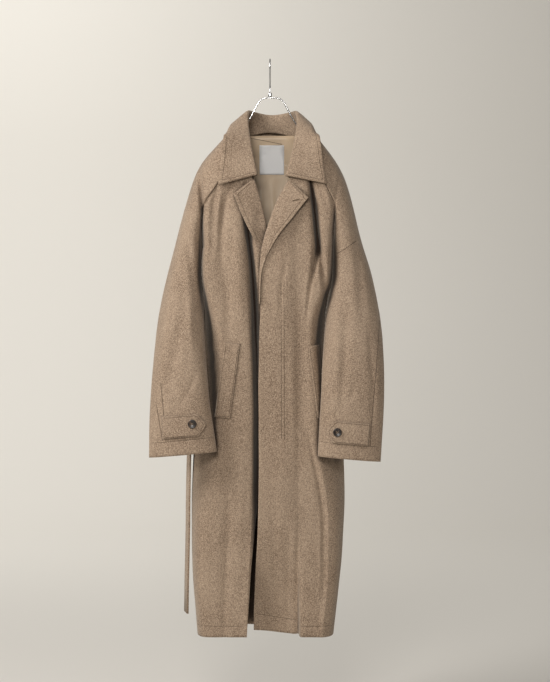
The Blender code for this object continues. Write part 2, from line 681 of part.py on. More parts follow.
def build_belt_loop(side):
    """A narrow keeper beside the side seam, bowed out over the belt."""
    rows = []
    out = side * (LOOP_WALL + 2 * SEAM)
    for t in LOOP_STATIONS:
        bow = smooth((min(t, 1 - t) - LOOP_STATIONS[1]) / (LOOP_STATIONS[3] - LOOP_STATIONS[1]))
        z = BELT_Z + LOOP_HALF_HEIGHT * (1 - 2 * t)
        rows.append([Vector((mix(back_side_x(side, y, z), belt_x(side), bow) + out, y, z)) for y in LOOP_Y])
    name = "belt_loop_left" if side == LEFT else "belt_loop_right"
    return cloth(name, rows, LOOP_WALL, wool, facing=(side, 0, 0))


def build_lining():
    inward = Vector((0, 1.1 * (WALL + LINING_WALL) + 2 * SEAM, 0))
    rows = [[p - inward for p in row[5:-5]] for row in PANELS["back"][:LINING_ROWS]]
    return cloth("back_lining", rows, LINING_WALL, satin, facing=(0, -1, 0))


def build_label():
    rows = []
    back = face_of("back")
    inward = 1.1 * (WALL + LINING_WALL) + 2 * SEAM + LABEL_LIFT + LABEL_WALL
    for z in spaced(LABEL_TOP, LABEL_TOP - LABEL_HEIGHT, 5):
        rows.append([Vector((x, back(x, z) - inward, z))
                     for x in spaced(LABEL_X - LABEL_WIDTH / 2, LABEL_X + LABEL_WIDTH / 2, 5)])
    return cloth("neck_label", rows, LABEL_WALL, tape, facing=(0, -1, 0))


def build_hook():
    """Stem, forward bow, and the crest over the rail, in the plane of the rail's cross section."""
    radius = HOOK_RADIUS + WIRE
    centre = -HOOK_RADIUS
    points = [Vector((0, 0, FERRULE_TOP + 0.0003)), Vector((0, 0, FERRULE_TOP + 0.012)),
              Vector((0, -0.002, FERRULE_TOP + 0.021)), Vector((0, -0.008, FERRULE_TOP + 0.029))]
    for angle in range(222, -31, -14):
        turn = math.radians(angle)
        points.append(Vector((0, radius * math.cos(turn), centre + radius * math.sin(turn))))
    return tube("hanger_hook", points, WIRE, chrome)


def build_ferrule():
    bpy.ops.mesh.primitive_cylinder_add(vertices=24, radius=0.0045, depth=FERRULE_HEIGHT,
                                        location=(0, 0, FERRULE_TOP - FERRULE_HEIGHT / 2))
    made = bpy.context.object
    made.name = "hanger_ferrule"
    made.data.materials.append(chrome)
    bevel = made.modifiers.new("rounded", "BEVEL")
    bevel.width = 0.001
    bevel.segments = 2
    for collection in made.users_collection:
        collection.objects.unlink(made)
    coat.objects.link(made)


def shoulder_rest(side, z):
    """Where the wire's middle lies so that the shoulder's cloth rests on it."""
    table = SLEEVE_LEFT if side == LEFT else SLEEVE_RIGHT
    step = 0.004
    here = Vector((at(table, "outer", z), 0, z))
    ahead = Vector((at(table, "outer", z - step), 0, z - step))
    run = (ahead - here).normalized()
    inward = Vector((run.z, 0, -run.x))
    place = here + inward * (WALL + WIRE + 0.0012)
    return Vector((side * place.x, at(table, "middle", z), place.z))


def build_frame():
    """One wire: from a rounded end in each shoulder up under the ferrule."""
    top = FERRULE_TOP - FERRULE_HEIGHT - 0.0003 - WIRE
    halves = []
    for side in (RIGHT, LEFT):
        rests = [shoulder_rest(side, z) for z in UPPER_ROWS[2:0:-1]]
        neck = list(HANGER_NECK) + [(0.018, 0.0, top - 0.001), (0.008, 0.0, top)]
        halves.append(rests + [Vector((side * x + HANGER_SHIFT, y, z)) for x, y, z in neck])
    points = halves[0] + halves[1][::-1]
    return tube("hanger_frame", catmull(points, 2), WIRE, chrome)


for old in list(bpy.data.objects):
    bpy.data.objects.remove(old)
coat = bpy.data.collections.new("raglan_coat")
bpy.context.scene.collection.children.link(coat)

wool = material("wool", (0.27, 0.20, 0.14), 0.9)
satin = material("lining", (0.45, 0.32, 0.20), 0.5)
tape = material("label", (0.85, 0.85, 0.83), 0.6)
horn = material("horn", (0.05, 0.03, 0.02), 0.3)
chrome = material("chrome", (0.8, 0.8, 0.8), 0.15, 1.0)

build_back()
for side in (RIGHT, LEFT):
    name = "left" if side == LEFT else "right"
    build_front(side)
    build_sleeve(side)
    build_facing(side)
    start, end = POCKETS[side]
    laid_patch("pocket_welt_" + name, start, end, POCKET_HALF_WIDTH, POCKET_LIFT, WALL,
               foremost(face_of("front_" + name)), wool, steps=(10, 8))
    start, end = CUFF_TABS[side]
    laid_patch("cuff_tab_" + name, start, end, CUFF_TAB_HALF_WIDTH, CUFF_TAB_LIFT, WALL,
               face_of("sleeve_" + name, 0.5), wool, point=CUFF_TAB_POINT, steps=(11, 5))
    build_button(side, CUFF_BUTTONS[side])
    build_belt_loop(side)
build_collar()
build_belt()
build_lining()
build_label()
build_hook()
build_ferrule()
build_frame()
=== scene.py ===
# %% [markdown]
# # Long raglan coat on a wire hanger
# Every cloth piece is made from its solid in the frame: the solid's form is copied, refined and given the
# folds that the cloth shows. Lengths are in metres, +Z is up and the coat's front faces -Y. Left and right
# are the wearer's.

# %% Frame
import math

import bmesh
import bpy
import numpy as np
from mathutils import Matrix, Vector
from mathutils.bvhtree import BVHTree


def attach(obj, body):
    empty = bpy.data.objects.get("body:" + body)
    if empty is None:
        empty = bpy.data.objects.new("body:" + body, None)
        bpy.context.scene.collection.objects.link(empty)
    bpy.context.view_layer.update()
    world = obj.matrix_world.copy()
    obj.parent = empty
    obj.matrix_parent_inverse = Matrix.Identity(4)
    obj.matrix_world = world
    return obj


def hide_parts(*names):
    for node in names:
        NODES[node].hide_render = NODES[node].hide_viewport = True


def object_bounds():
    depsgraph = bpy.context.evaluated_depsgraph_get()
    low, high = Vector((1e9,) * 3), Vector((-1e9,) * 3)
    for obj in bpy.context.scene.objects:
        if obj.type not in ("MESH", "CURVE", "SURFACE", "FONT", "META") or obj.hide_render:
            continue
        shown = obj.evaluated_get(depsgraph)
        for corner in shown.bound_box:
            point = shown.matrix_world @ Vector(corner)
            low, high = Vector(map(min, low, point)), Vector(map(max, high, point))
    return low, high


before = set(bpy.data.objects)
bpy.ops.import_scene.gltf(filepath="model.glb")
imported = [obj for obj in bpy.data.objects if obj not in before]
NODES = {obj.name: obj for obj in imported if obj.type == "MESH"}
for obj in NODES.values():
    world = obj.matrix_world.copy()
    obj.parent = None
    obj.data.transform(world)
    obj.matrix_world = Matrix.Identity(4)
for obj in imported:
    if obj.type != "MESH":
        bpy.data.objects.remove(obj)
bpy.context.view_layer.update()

# %% [markdown]
# ## Camera
# Level with the middle of the coat and four metres away, so that the sleeves and the hem are seen almost
# flat, as with a long lens in a studio. An orthographic camera would be flatter still, but a real lens
# sees a little of each sleeve's inner side.

# %% Camera
PIXEL = 0.00239          # metres to a pixel at the hanger
HALF_PICTURE = 341       # pixels from the picture's middle to its upper edge
DISTANCE = 4.0
AIM = Vector((0.0119, 0.0, -0.6716))
camera = bpy.data.objects.new("camera", bpy.data.cameras.new("camera"))
bpy.context.scene.collection.objects.link(camera)
camera.location = AIM + Vector((0, -DISTANCE, 0))
camera.rotation_euler = (math.radians(90), 0, 0)
camera.data.sensor_fit = "VERTICAL"
camera.data.angle = 2 * math.atan(HALF_PICTURE * PIXEL / DISTANCE)
camera.data.clip_start = 0.1
camera.data.clip_end = 60
bpy.context.scene.camera = camera
print("camera angle", round(math.degrees(camera.data.angle), 2))

# %% [markdown]
# ## Building blocks for finishes
# Every finish here is a pattern of noise turned into a colour and a bump. Four small helpers add the nodes
# that all of them need: noise drawn out along an axis, a soft range, arithmetic, and a mix of two colours.

# %% Node helpers
def stretched_noise(group, coords, stretch, scale, detail, rough=0.55):
    """Noise with its grain drawn out along the axes whose stretch is small."""
    mapping = group.nodes.new("ShaderNodeMapping")
    mapping.inputs["Scale"].default_value = stretch
    noise = group.nodes.new("ShaderNodeTexNoise")
    noise.inputs["Scale"].default_value = scale
    noise.inputs["Detail"].default_value = detail
    noise.inputs["Roughness"].default_value = rough
    group.links.new(coords, mapping.inputs["Vector"])
    group.links.new(mapping.outputs["Vector"], noise.inputs["Vector"])
    return noise.outputs["Fac"]


def ranged(group, value, low, high, to_low=0.0, to_high=1.0):
    """A value's range from low to high, brought softly to another range."""
    node = group.nodes.new("ShaderNodeMapRange")
    node.interpolation_type = "SMOOTHSTEP"
    for name, number in (("From Min", low), ("From Max", high), ("To Min", to_low), ("To Max", to_high)):
        node.inputs[name].default_value = number
    group.links.new(value, node.inputs["Value"])
    return node.outputs["Result"]


def arithmetic(group, kind, a, b):
    """Two values, or a value and a number, added or multiplied."""
    node = group.nodes.new("ShaderNodeMath")
    node.operation = kind
    for socket, value in zip(node.inputs, (a, b)):
        if isinstance(value, bpy.types.NodeSocket):
            group.links.new(value, socket)
        else:
            socket.default_value = value
    return node.outputs[0]


def colour_mix(group, factor, a, b, kind="MIX"):
    """Two colours mixed by a factor. The colour sockets of the node come seventh and eighth."""
    node = group.nodes.new("ShaderNodeMix")
    node.data_type = "RGBA"
    node.blend_type = kind
    ends = (node.inputs[0], node.inputs[6], node.inputs[7])
    for socket, value in zip(ends, (factor, a, b)):
        if isinstance(value, bpy.types.NodeSocket):
            group.links.new(value, socket)
        else:
            socket.default_value = value
    return node.outputs[2]


# %% [markdown]
# ## Heathered cloth
# The cloth is woven from yarns of mixed brown and beige wool. A picture of cloth laid on it would repeat
# and stretch, so it is built from noise instead. Yarns run down and across, fine specks and slubs sit on
# them, and broad soft patches keep it from looking printed. Where an attribute says that a point lies deep
# in a fold, shade is painted into the colour there. The group gives the colour and the height, and each
# material sets its own sheen.

# %% Heather group
def node_group(name, inputs, outputs):
    """An empty node group with its sockets; gives the group, its nodes and its two ends."""
    group = bpy.data.node_groups.new(name, "ShaderNodeTree")
    for label, kind, value in inputs:
        socket = group.interface.new_socket(name=label, in_out="INPUT", socket_type=kind)
        socket.default_value = value
    for label, kind in outputs:
        group.interface.new_socket(name=label, in_out="OUTPUT", socket_type=kind)
    return group, group.nodes.new("NodeGroupInput"), group.nodes.new("NodeGroupOutput")


heather, ins, outs = node_group(
    "heather",
    [("Coordinates", "NodeSocketVector", (0, 0, 0)),
     ("Dark", "NodeSocketColor", (0.10, 0.07, 0.05, 1)),
     ("Middle", "NodeSocketColor", (0.27, 0.20, 0.14, 1)),
     ("Light", "NodeSocketColor", (0.45, 0.37, 0.28, 1)),
     ("PaintedShade", "NodeSocketFloat", 0.0)],
    [("Color", "NodeSocketColor"), ("Height", "NodeSocketFloat")])
coords = ins.outputs["Coordinates"]
warp = stretched_noise(heather, coords, (1, 1, 0.22), 620, 3)
weft = stretched_noise(heather, coords, (0.25, 0.25, 1), 680, 3)
speck = stretched_noise(heather, coords, (1, 1, 1), 950, 2, 0.7)
slub = stretched_noise(heather, coords, (1, 1, 0.75), 560, 2, 0.8)
patch = stretched_noise(heather, coords, (1, 1, 0.6), 14, 3)
yarn = arithmetic(heather, "MULTIPLY", arithmetic(heather, "ADD", warp, weft), 0.5)
print("patterns in the cloth", len([n for n in heather.nodes if n.type == "TEX_NOISE"]))

# %% [markdown]
# ## The cloth's colours
# The yarns run from the dark to the middle colour. Each further layer adds flecks of the light or the dark
# colour where its pattern lies in a range, and the last step paints shade into the hollows.

# %% Heather colours
# A layer's pattern, the range it is read in, its share at the range's two ends, and its colour.
LAYERS = (
    (speck, 0.52, 0.72, 0.0, 0.75, "Light"),
    (speck, 0.30, 0.44, 0.45, 0.0, "Dark"),
    (slub, 0.50, 0.68, 0.0, 0.60, "Light"),
    (slub, 0.33, 0.48, 0.62, 0.0, "Dark"),
    (patch, 0.35, 0.68, 0.0, 0.14, "Light"),
)
# Painted shade: the colour that the cloth is multiplied by where it lies deep in a fold or gap.
PAINTED_SHADE_COLOUR = (0.10, 0.085, 0.08, 1)
cloth = colour_mix(heather, ranged(heather, yarn, 0.36, 0.62), ins.outputs["Dark"], ins.outputs["Middle"])
for pattern, start, end, first, last, colour in LAYERS:
    share = ranged(heather, pattern, start, end, first, last)
    cloth = colour_mix(heather, share, cloth, ins.outputs[colour])
# Painted shade: the cloth is darkened as far as the attribute for hollow points says.
shaded = colour_mix(heather, ins.outputs["PaintedShade"], cloth, PAINTED_SHADE_COLOUR, "MULTIPLY")
heather.links.new(shaded, outs.inputs["Color"])
height = arithmetic(heather, "ADD", yarn, arithmetic(heather, "MULTIPLY", speck, 0.5))
heather.links.new(height, outs.inputs["Height"])
print("heather nodes", len(heather.nodes))

# %% [markdown]
# ## Wool, thread and seam grooves
# The wool is dull, with a soft sheen at glancing angles from its nap, and its yarns raise it by under a
# millimetre. Sewing thread is the same yarns in another colour, and the shade in a seam's groove is
# painted with them in a very dark one.

# %% Wool
def shader_of(name, roughness, **sockets):
    """A material with its shader's sockets set; an underscore in a keyword stands for a space."""
    made = bpy.data.materials.new(name)
    made.use_nodes = True
    shader = made.node_tree.nodes["Principled BSDF"]
    shader.inputs["Roughness"].default_value = roughness
    for key, value in sockets.items():
        shader.inputs[key.replace("_", " ")].default_value = value
    return made, made.node_tree, shader


def bumped(tree, shader, height, strength, distance):
    """Let a height raise the surface."""
    bump = tree.nodes.new("ShaderNodeBump")
    bump.inputs["Strength"].default_value = strength
    bump.inputs["Distance"].default_value = distance
    tree.links.new(height, bump.inputs["Height"])
    tree.links.new(bump.outputs["Normal"], shader.inputs["Normal"])


def wool(name, dark, middle, light):
    made, tree, shader = shader_of(name, 0.88, Sheen_Weight=0.22, Sheen_Roughness=0.45)
    shader.inputs["Specular IOR Level"].default_value = 0.18
    shader.inputs["Sheen Tint"].default_value = (0.95, 0.88, 0.78, 1)
    coords = tree.nodes.new("ShaderNodeTexCoord")
    group = tree.nodes.new("ShaderNodeGroup")
    group.node_tree = heather
    for label, colour in (("Dark", dark), ("Middle", middle), ("Light", light)):
        group.inputs[label].default_value = (*colour, 1)
    # The amount of painted shade, read from the attribute kept on each piece.
    painted_shade = tree.nodes.new("ShaderNodeAttribute")
    painted_shade.attribute_name = "painted_shade"
    tree.links.new(painted_shade.outputs["Fac"], group.inputs["PaintedShade"])
    tree.links.new(coords.outputs["Object"], group.inputs["Coordinates"])
    tree.links.new(group.outputs["Color"], shader.inputs["Base Color"])
    bumped(tree, shader, group.outputs["Height"], strength=0.55, distance=0.0009)
    return made


WOOL = wool("wool_cloth", (0.135, 0.090, 0.060), (0.318, 0.230, 0.160), (0.590, 0.462, 0.340))
THREAD = wool("sewing_thread", (0.12, 0.080, 0.052), (0.20, 0.140, 0.092), (0.30, 0.225, 0.155))
# Painted shade: this very dark wool stands for the shade in seam grooves and in the buttonhole's slit.
PAINTED_GROOVE_SHADE = wool("painted_seam_shade", (0.060, 0.040, 0.028), (0.120, 0.085, 0.058), (0.20, 0.15, 0.105))
print("wools", [m.name for m in (WOOL, THREAD, PAINTED_GROOVE_SHADE)])

# %% [markdown]
# ## Lining and tape
# The lining is a tan satin: its long fine yarns run down, so the light is drawn out across them. The label
# is bare white tape with ribs across it.

# %% Lining and tape
SATIN, tree, shader = shader_of("satin_lining", 0.42, Sheen_Weight=0.15, Anisotropic=0.4)
coords = tree.nodes.new("ShaderNodeTexCoord").outputs["Object"]
twill = stretched_noise(tree, coords, (1, 1, 0.06), 900, 2)
soft = stretched_noise(tree, coords, (1, 1, 0.3), 30, 2)
tan = colour_mix(tree, twill, (0.58, 0.43, 0.28, 1), (0.70, 0.54, 0.37, 1))
tan = colour_mix(tree, ranged(tree, soft, 0.4, 0.65, 0.0, 0.25), tan, (0.76, 0.60, 0.43, 1))
tree.links.new(tan, shader.inputs["Base Color"])
bumped(tree, shader, twill, strength=0.25, distance=0.0004)

TAPE, tree, shader = shader_of("woven_tape", 0.6)
coords = tree.nodes.new("ShaderNodeTexCoord").outputs["Object"]
rib = stretched_noise(tree, coords, (0.2, 1, 1), 1500, 2)
white = colour_mix(tree, rib, (0.90, 0.90, 0.89, 1), (0.98, 0.98, 0.97, 1))
tree.links.new(white, shader.inputs["Base Color"])
bumped(tree, shader, rib, strength=0.3, distance=0.0003)
print("lining and tape", [m.name for m in (SATIN, TAPE)])

# %% [markdown]
# ## Horn and wire
# The buttons are dark horn with paler streaks under a thin polish. The hanger's wire is chromed, with the
# faint unevenness of drawn wire.

# %% Horn and wire
HORN, tree, shader = shader_of("horn", 0.34, Coat_Weight=0.15, Coat_Roughness=0.25)
coords = tree.nodes.new("ShaderNodeTexCoord").outputs["Object"]
streak = ranged(tree, stretched_noise(tree, coords, (1, 1, 0.25), 160, 4), 0.48, 0.72)
dark = colour_mix(tree, streak, (0.012, 0.008, 0.006, 1), (0.085, 0.050, 0.030, 1))
tree.links.new(dark, shader.inputs["Base Color"])

CHROME, tree, shader = shader_of("chromed_wire", 0.16, Metallic=1.0)
coords = tree.nodes.new("ShaderNodeTexCoord").outputs["Object"]
drawn = stretched_noise(tree, coords, (1, 1, 1), 240, 2)
bright = colour_mix(tree, drawn, (0.42, 0.42, 0.43, 1), (0.62, 0.62, 0.62, 1))
tree.links.new(bright, shader.inputs["Base Color"])
bumped(tree, shader, drawn, strength=0.08, distance=0.0004)
print("horn and wire", [m.name for m in (HORN, CHROME)])

# %% [markdown]
# ## Shells
# A cloth piece could be draped by simulation or modelled afresh. Here the solid already holds the
# garment's form, so its copy is paired back to quads and subdivided, with its cut edges creased so that
# they stay where the solid has them. What lies on the piece is then set on this finer face.

# %% Rims
MERGE = 0.00002          # points nearer than this are one
PROBE = 0.00005          # how far under a face the search for the wall's other side starts
WALL_REACH = 1.9         # the other side lies within this many walls
RIM_WIDTH = 2.2          # a rim's face is narrower than this many walls
SHARP = 0.7              # radians between two faces of a rim that meet at a corner


def rim_faces(work, wall):
    """The narrow faces round a wall's edges: no second face lies close behind them."""
    tree = BVHTree.FromBMesh(work)
    rims = set()
    for face in work.faces:
        centre = face.calc_center_median()
        hit = tree.ray_cast(centre - face.normal * PROBE, -face.normal, wall * WALL_REACH)
        shortest = min(edge.calc_length() for edge in face.edges)
        if hit[0] is None and shortest < wall * RIM_WIDTH:
            rims.add(face)
    return rims


def crease_rims(work, wall):
    """Mark the edges where the wall's faces meet its rims, and the rims' own corners, as sharp."""
    rims = rim_faces(work, wall)
    crease = work.edges.layers.float.new("crease_edge")
    for edge in work.edges:
        beside = [face in rims for face in edge.link_faces]
        if any(beside) and (not all(beside) or edge.calc_face_angle(0.0) > SHARP):
            edge[crease] = 1.0


print("rim corners are sharp above", round(math.degrees(SHARP)), "degrees")

# %% [markdown]
# ## From a mesh to a piece
# Every piece goes the same way: its bmesh becomes an object at the origin, its modifiers become its mesh,
# and it gets its finish, the solids that it stands for, and the body that it rides on.

# %% Pieces
def object_of(name, work):
    """Put a bmesh into a new object."""
    mesh = bpy.data.meshes.new(name)
    work.to_mesh(mesh)
    work.free()
    piece = bpy.data.objects.new(name, mesh)
    bpy.context.scene.collection.objects.link(piece)
    return piece


def apply_modifiers(piece):
    """Make what the modifiers show the piece's own mesh."""
    shown = piece.evaluated_get(bpy.context.evaluated_depsgraph_get())
    mesh = bpy.data.meshes.new_from_object(shown)
    piece.modifiers.clear()
    piece.data = mesh


def finished(piece, finish, *nodes):
    """Give a piece its finish, and let it stand for its nodes and ride with the coat."""
    piece.data.materials.clear()
    piece.data.materials.append(finish)
    piece.data.shade_smooth()
    if nodes:
        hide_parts(*nodes)
    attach(piece, "root")
    return piece


def shell(node, finish, wall, levels):
    """A finer, smooth copy of a solid that stands for it."""
    work = bmesh.new()
    work.from_mesh(NODES[node].data)
    bmesh.ops.remove_doubles(work, verts=work.verts, dist=MERGE)
    bmesh.ops.join_triangles(work, faces=work.faces, angle_face_threshold=math.radians(70),
                             angle_shape_threshold=math.radians(170))
    work.normal_update()
    crease_rims(work, wall)
    piece = object_of(node + "_shell", work)
    smooth = piece.modifiers.new("smooth", "SUBSURF")
    smooth.levels = smooth.render_levels = levels
    apply_modifiers(piece)
    return finished(piece, finish, node)


# Each solid with its finish, its wall's thickness or its wire's radius, and how often it is refined.
SHELL_TABLE = (
    ("back", WOOL, 0.0025, 3),
    ("front_right", WOOL, 0.0025, 3),
    ("front_left", WOOL, 0.0025, 3),
    ("sleeve_right", WOOL, 0.0025, 3),
    ("sleeve_left", WOOL, 0.0025, 3),
    ("collar", WOOL, 0.003, 2),
    ("facing_right", WOOL, 0.0025, 2),
    ("facing_left", WOOL, 0.0025, 2),
    ("belt", WOOL, 0.004, 2),
    ("belt_loop_right", WOOL, 0.0025, 1),
    ("belt_loop_left", WOOL, 0.0025, 1),
    ("back_lining", SATIN, 0.0012, 2),
    ("neck_label", TAPE, 0.0008, 2),
    ("hanger_hook", CHROME, 0.0019, 2),
    ("hanger_frame", CHROME, 0.0019, 2),
    ("hanger_ferrule", CHROME, 0.0019, 2),
)
SHELLS = {}
for node, finish, wall, levels in SHELL_TABLE:
    SHELLS[node] = shell(node, finish, wall, levels)
    print(node, "faces", len(SHELLS[node].data.polygons))

# %% [markdown]
# ## How a fold is pressed in
# Each fold is a soft trough, or with a negative depth a ridge, along a line across the face. A cloth
# simulation would give folds too, but not these: the coat hangs still, and its folds are long and few. So
# each is given as a line over x and z with a half width and a depth, and moves the points near it forwards
# or back.

# %% Folds
CREASE_POWER = 1.3       # how sharply a pinched fold comes to its line
END_POWER = 0.7          # how quickly a fold reaches its depth from its ends
END_SHARE = 0.04         # the part of its length at each end that keeps one depth
SHARED = 0.01            # cloth this near the coat's middle belongs to both its halves
FADE = 0.030             # beyond the middle a fold fades out over this depth
PINCHED_FADE = 0.008


def points_of(piece):
    """A piece's points as rows of x, y and z."""
    points = np.empty(len(piece.data.vertices) * 3)
    piece.data.vertices.foreach_get("co", points)
    return points.reshape(-1, 3)


def put_points(piece, points):
    piece.data.vertices.foreach_set("co", points.ravel())
    piece.data.update()


def eased(t):
    """A soft step from 0 to 1."""
    t = np.clip(t, 0, 1)
    return t * t * (3 - 2 * t)


def nearest_on(line, flat):
    """For each flat point its distance from a bent line, and how far along the line that is (0 to 1)."""
    lengths = np.linalg.norm(np.diff(line, axis=0), axis=1)
    best = np.full(len(flat), np.inf)
    along = np.zeros(len(flat))
    for k, length in enumerate(lengths):
        run = (line[k + 1] - line[k]) / length
        t = np.clip((flat - line[k]) @ run, 0, length)
        distance = np.linalg.norm(flat - line[k] - t[:, None] * run, axis=1)
        nearer = distance < best
        best[nearer] = distance[nearer]
        along[nearer] = (t[nearer] + lengths[:k].sum()) / lengths.sum()
    return best, along


def fold_depth(points, line, half_width, depth, pinched):
    """How deep one fold is at each point: a cosine across it, or a sharper crease where it is pinched."""
    distance, along = nearest_on(np.array(line, float), points[:, (0, 2)])
    share = np.clip(distance / half_width, 0, 1)
    across = (1 - share) ** CREASE_POWER if pinched else 0.5 + 0.5 * np.cos(np.pi * share)
    ends = np.sin(np.pi * np.clip(along, END_SHARE, 1 - END_SHARE)) ** END_POWER
    return depth * across * ends


def fold(piece, folds, side, middle=None, pinched=False):
    """Press folds into the front (side 1) or back (side -1) half of a piece."""
    points = points_of(piece)
    depth = np.zeros(len(points))
    for line, half_width, deep in folds:
        depth += fold_depth(points, line, half_width, deep, pinched)
    centre = np.full(len(points), side * SHARED)
    if middle is not None:
        centre = np.interp(-points[:, 2], *middle)
    fade = PINCHED_FADE if pinched else FADE
    points[:, 1] += side * depth * eased((centre - points[:, 1]) * side / fade)
    put_points(piece, points)


def middle_line(piece):
    """The y of a tube's middle at several depths below the top."""
    points = points_of(piece)
    near = 0.02
    heights = np.linspace(points[:, 2].max() - near, points[:, 2].min() + near, 24)
    middles = []
    for z in heights:
        ring = points[np.abs(points[:, 2] - z) < near]
        middles.append((ring[:, 1].min() + ring[:, 1].max()) / 2)
    return -heights, np.array(middles)


print("points in the back's shell", len(points_of(SHELLS["back"])))

# %% [markdown]
# ## The folds of the body
# The folds run with the cloth's fall from the shoulders, uneven in length, depth and spacing. The fronts'
# follow the picture. The back isn't seen there, so its folds are of the same kind: the fullness gathered
# over the belt and the flutes below it.

# %% Body folds
FOLDS_RIGHT = (
    (((-0.115, -0.221), (-0.126, -0.291), (-0.133, -0.396), (-0.136, -0.487)), 0.013, 0.0045),
    (((-0.105, -0.309), (-0.111, -0.365), (-0.115, -0.436)), 0.010, 0.0035),
    (((-0.079, -0.377), (-0.072, -0.487), (-0.065, -0.646)), 0.016, -0.0030),
    (((-0.091, -0.401), (-0.096, -0.576), (-0.098, -0.681)), 0.014, 0.0030),
    (((-0.098, -0.931), (-0.103, -1.137), (-0.107, -1.328)), 0.020, 0.0022),
    (((-0.063, -0.903), (-0.068, -1.090), (-0.075, -1.277)), 0.016, -0.0016),
)
FOLDS_LEFT = (
    (((0.040, -0.471), (0.026, -0.552), (0.023, -0.646)), 0.010, 0.0030),
    (((-0.019, -0.548), (0.005, -0.604), (0.033, -0.646)), 0.009, 0.0018),
    (((0.072, -0.576), (0.077, -0.763), (0.084, -0.926)), 0.020, 0.0032),
    (((0.051, -0.646), (0.054, -0.809), (0.056, -0.973)), 0.014, -0.0020),
    (((0.005, -0.973), (0.012, -1.183), (0.023, -1.323)), 0.016, 0.0016),
    (((0.110, -0.400), (0.098, -0.500), (0.086, -0.610)), 0.018, -0.0030),
    (((0.0575, -1.080), (0.0575, -1.240), (0.0575, -1.500)), 0.018, -0.0080),
    (((0.114, -0.900), (0.129, -0.996), (0.137, -1.096), (0.142, -1.222), (0.146, -1.450)), 0.024, 0.0030),
    (((0.112, -0.930), (0.1220, -1.030), (0.1225, -1.150), (0.122, -1.420)), 0.013, -0.0035),
)
FOLDS_BACK = (
    (((-0.140, -0.500), (-0.105, -0.580), (-0.050, -0.720)), 0.016, 0.0055),
    (((0.130, -0.520), (0.100, -0.640), (0.072, -0.780)), 0.015, 0.0050),
    (((-0.095, -0.300), (-0.070, -0.500), (-0.062, -0.720)), 0.022, 0.0045),
    (((0.085, -0.280), (0.072, -0.450), (0.060, -0.640)), 0.020, 0.0045),
    (((0.004, -0.330), (0.010, -0.700), (-0.004, -1.050)), 0.024, -0.0035),
    (((-0.050, -0.860), (-0.058, -1.060), (-0.062, -1.330)), 0.022, 0.0050),
    (((0.066, -0.840), (0.078, -1.050), (0.082, -1.330)), 0.022, 0.0050),
    (((0.010, -1.000), (0.016, -1.160), (0.018, -1.340)), 0.018, 0.0035),
)
print("folds on the body", len(FOLDS_RIGHT) + len(FOLDS_LEFT) + len(FOLDS_BACK))

# %% [markdown]
# ## The folds of the sleeves
# A hanging sleeve bends a little at the elbow, so its folds start there and at the underarm, and fan out
# towards the cuff. The hidden half of each sleeve has folds like those of the half that is seen.

# %% Sleeve folds
FOLDS_SLEEVE_RIGHT = (
    (((-0.175, -0.319), (-0.180, -0.436), (-0.173, -0.552)), 0.014, -0.0030),
    (((-0.194, -0.571), (-0.217, -0.681), (-0.234, -0.795)), 0.020, 0.0045),
    (((-0.201, -0.436), (-0.187, -0.576), (-0.180, -0.716)), 0.014, -0.0035),
    (((-0.149, -0.623), (-0.147, -0.751), (-0.140, -0.821)), 0.010, 0.0030),
    (((-0.229, -0.506), (-0.243, -0.646), (-0.257, -0.809)), 0.012, -0.0025),
    (((-0.166, -0.735), (-0.187, -0.791), (-0.215, -0.828)), 0.010, 0.0022),
    (((-0.220, -0.356), (-0.201, -0.403), (-0.189, -0.464)), 0.012, 0.0025),
)
FOLDS_SLEEVE_LEFT = (
    (((0.166, -0.261), (0.157, -0.312), (0.152, -0.380)), 0.008, -0.0050),
    (((0.136, -0.326), (0.149, -0.354), (0.149, -0.436)), 0.007, 0.0050),
    (((0.192, -0.342), (0.210, -0.487), (0.217, -0.651)), 0.018, 0.0040),
    (((0.166, -0.487), (0.154, -0.646), (0.152, -0.809)), 0.014, -0.0032),
    (((0.180, -0.576), (0.175, -0.693), (0.166, -0.828)), 0.014, 0.0036),
    (((0.229, -0.618), (0.238, -0.774), (0.234, -0.903)), 0.010, 0.0026),
    (((0.248, -0.557), (0.252, -0.693), (0.250, -0.856)), 0.010, -0.0022),
    (((0.201, -0.758), (0.187, -0.800), (0.164, -0.833)), 0.010, 0.0020),
)
FOLDS_SLEEVE_RIGHT_BACK = (
    (((-0.175, -0.420), (-0.205, -0.560), (-0.215, -0.720)), 0.018, 0.0045),
    (((-0.150, -0.560), (-0.175, -0.640), (-0.215, -0.700)), 0.013, 0.0040),
    (((-0.235, -0.600), (-0.240, -0.730), (-0.232, -0.880)), 0.014, -0.0030),
    (((-0.190, -0.760), (-0.185, -0.830), (-0.190, -0.900)), 0.012, 0.0025),
)
FOLDS_SLEEVE_LEFT_BACK = (
    (((0.172, -0.400), (0.198, -0.540), (0.205, -0.700)), 0.018, 0.0045),
    (((0.140, -0.570), (0.165, -0.660), (0.200, -0.730)), 0.013, 0.0040),
    (((0.232, -0.580), (0.236, -0.720), (0.226, -0.880)), 0.014, -0.0030),
    (((0.170, -0.780), (0.166, -0.850), (0.172, -0.910)), 0.012, 0.0025),
)
print("folds on the right sleeve", len(FOLDS_SLEEVE_RIGHT) + len(FOLDS_SLEEVE_RIGHT_BACK))
print("folds on the left sleeve", len(FOLDS_SLEEVE_LEFT) + len(FOLDS_SLEEVE_LEFT_BACK))

# %% [markdown]
# ## Seam swells, deep valleys and the lining's creases
# Along each raglan seam both panels' turnings lie under the cloth and lift it, so the front and the sleeve
# get the same swell. Deep valleys lie beside the front's edge, beside each sleeve and down the left
# breast. They are pinched: a cosine would be too round at the bottom. The lining, cut with ease, falls
# into soft creases.

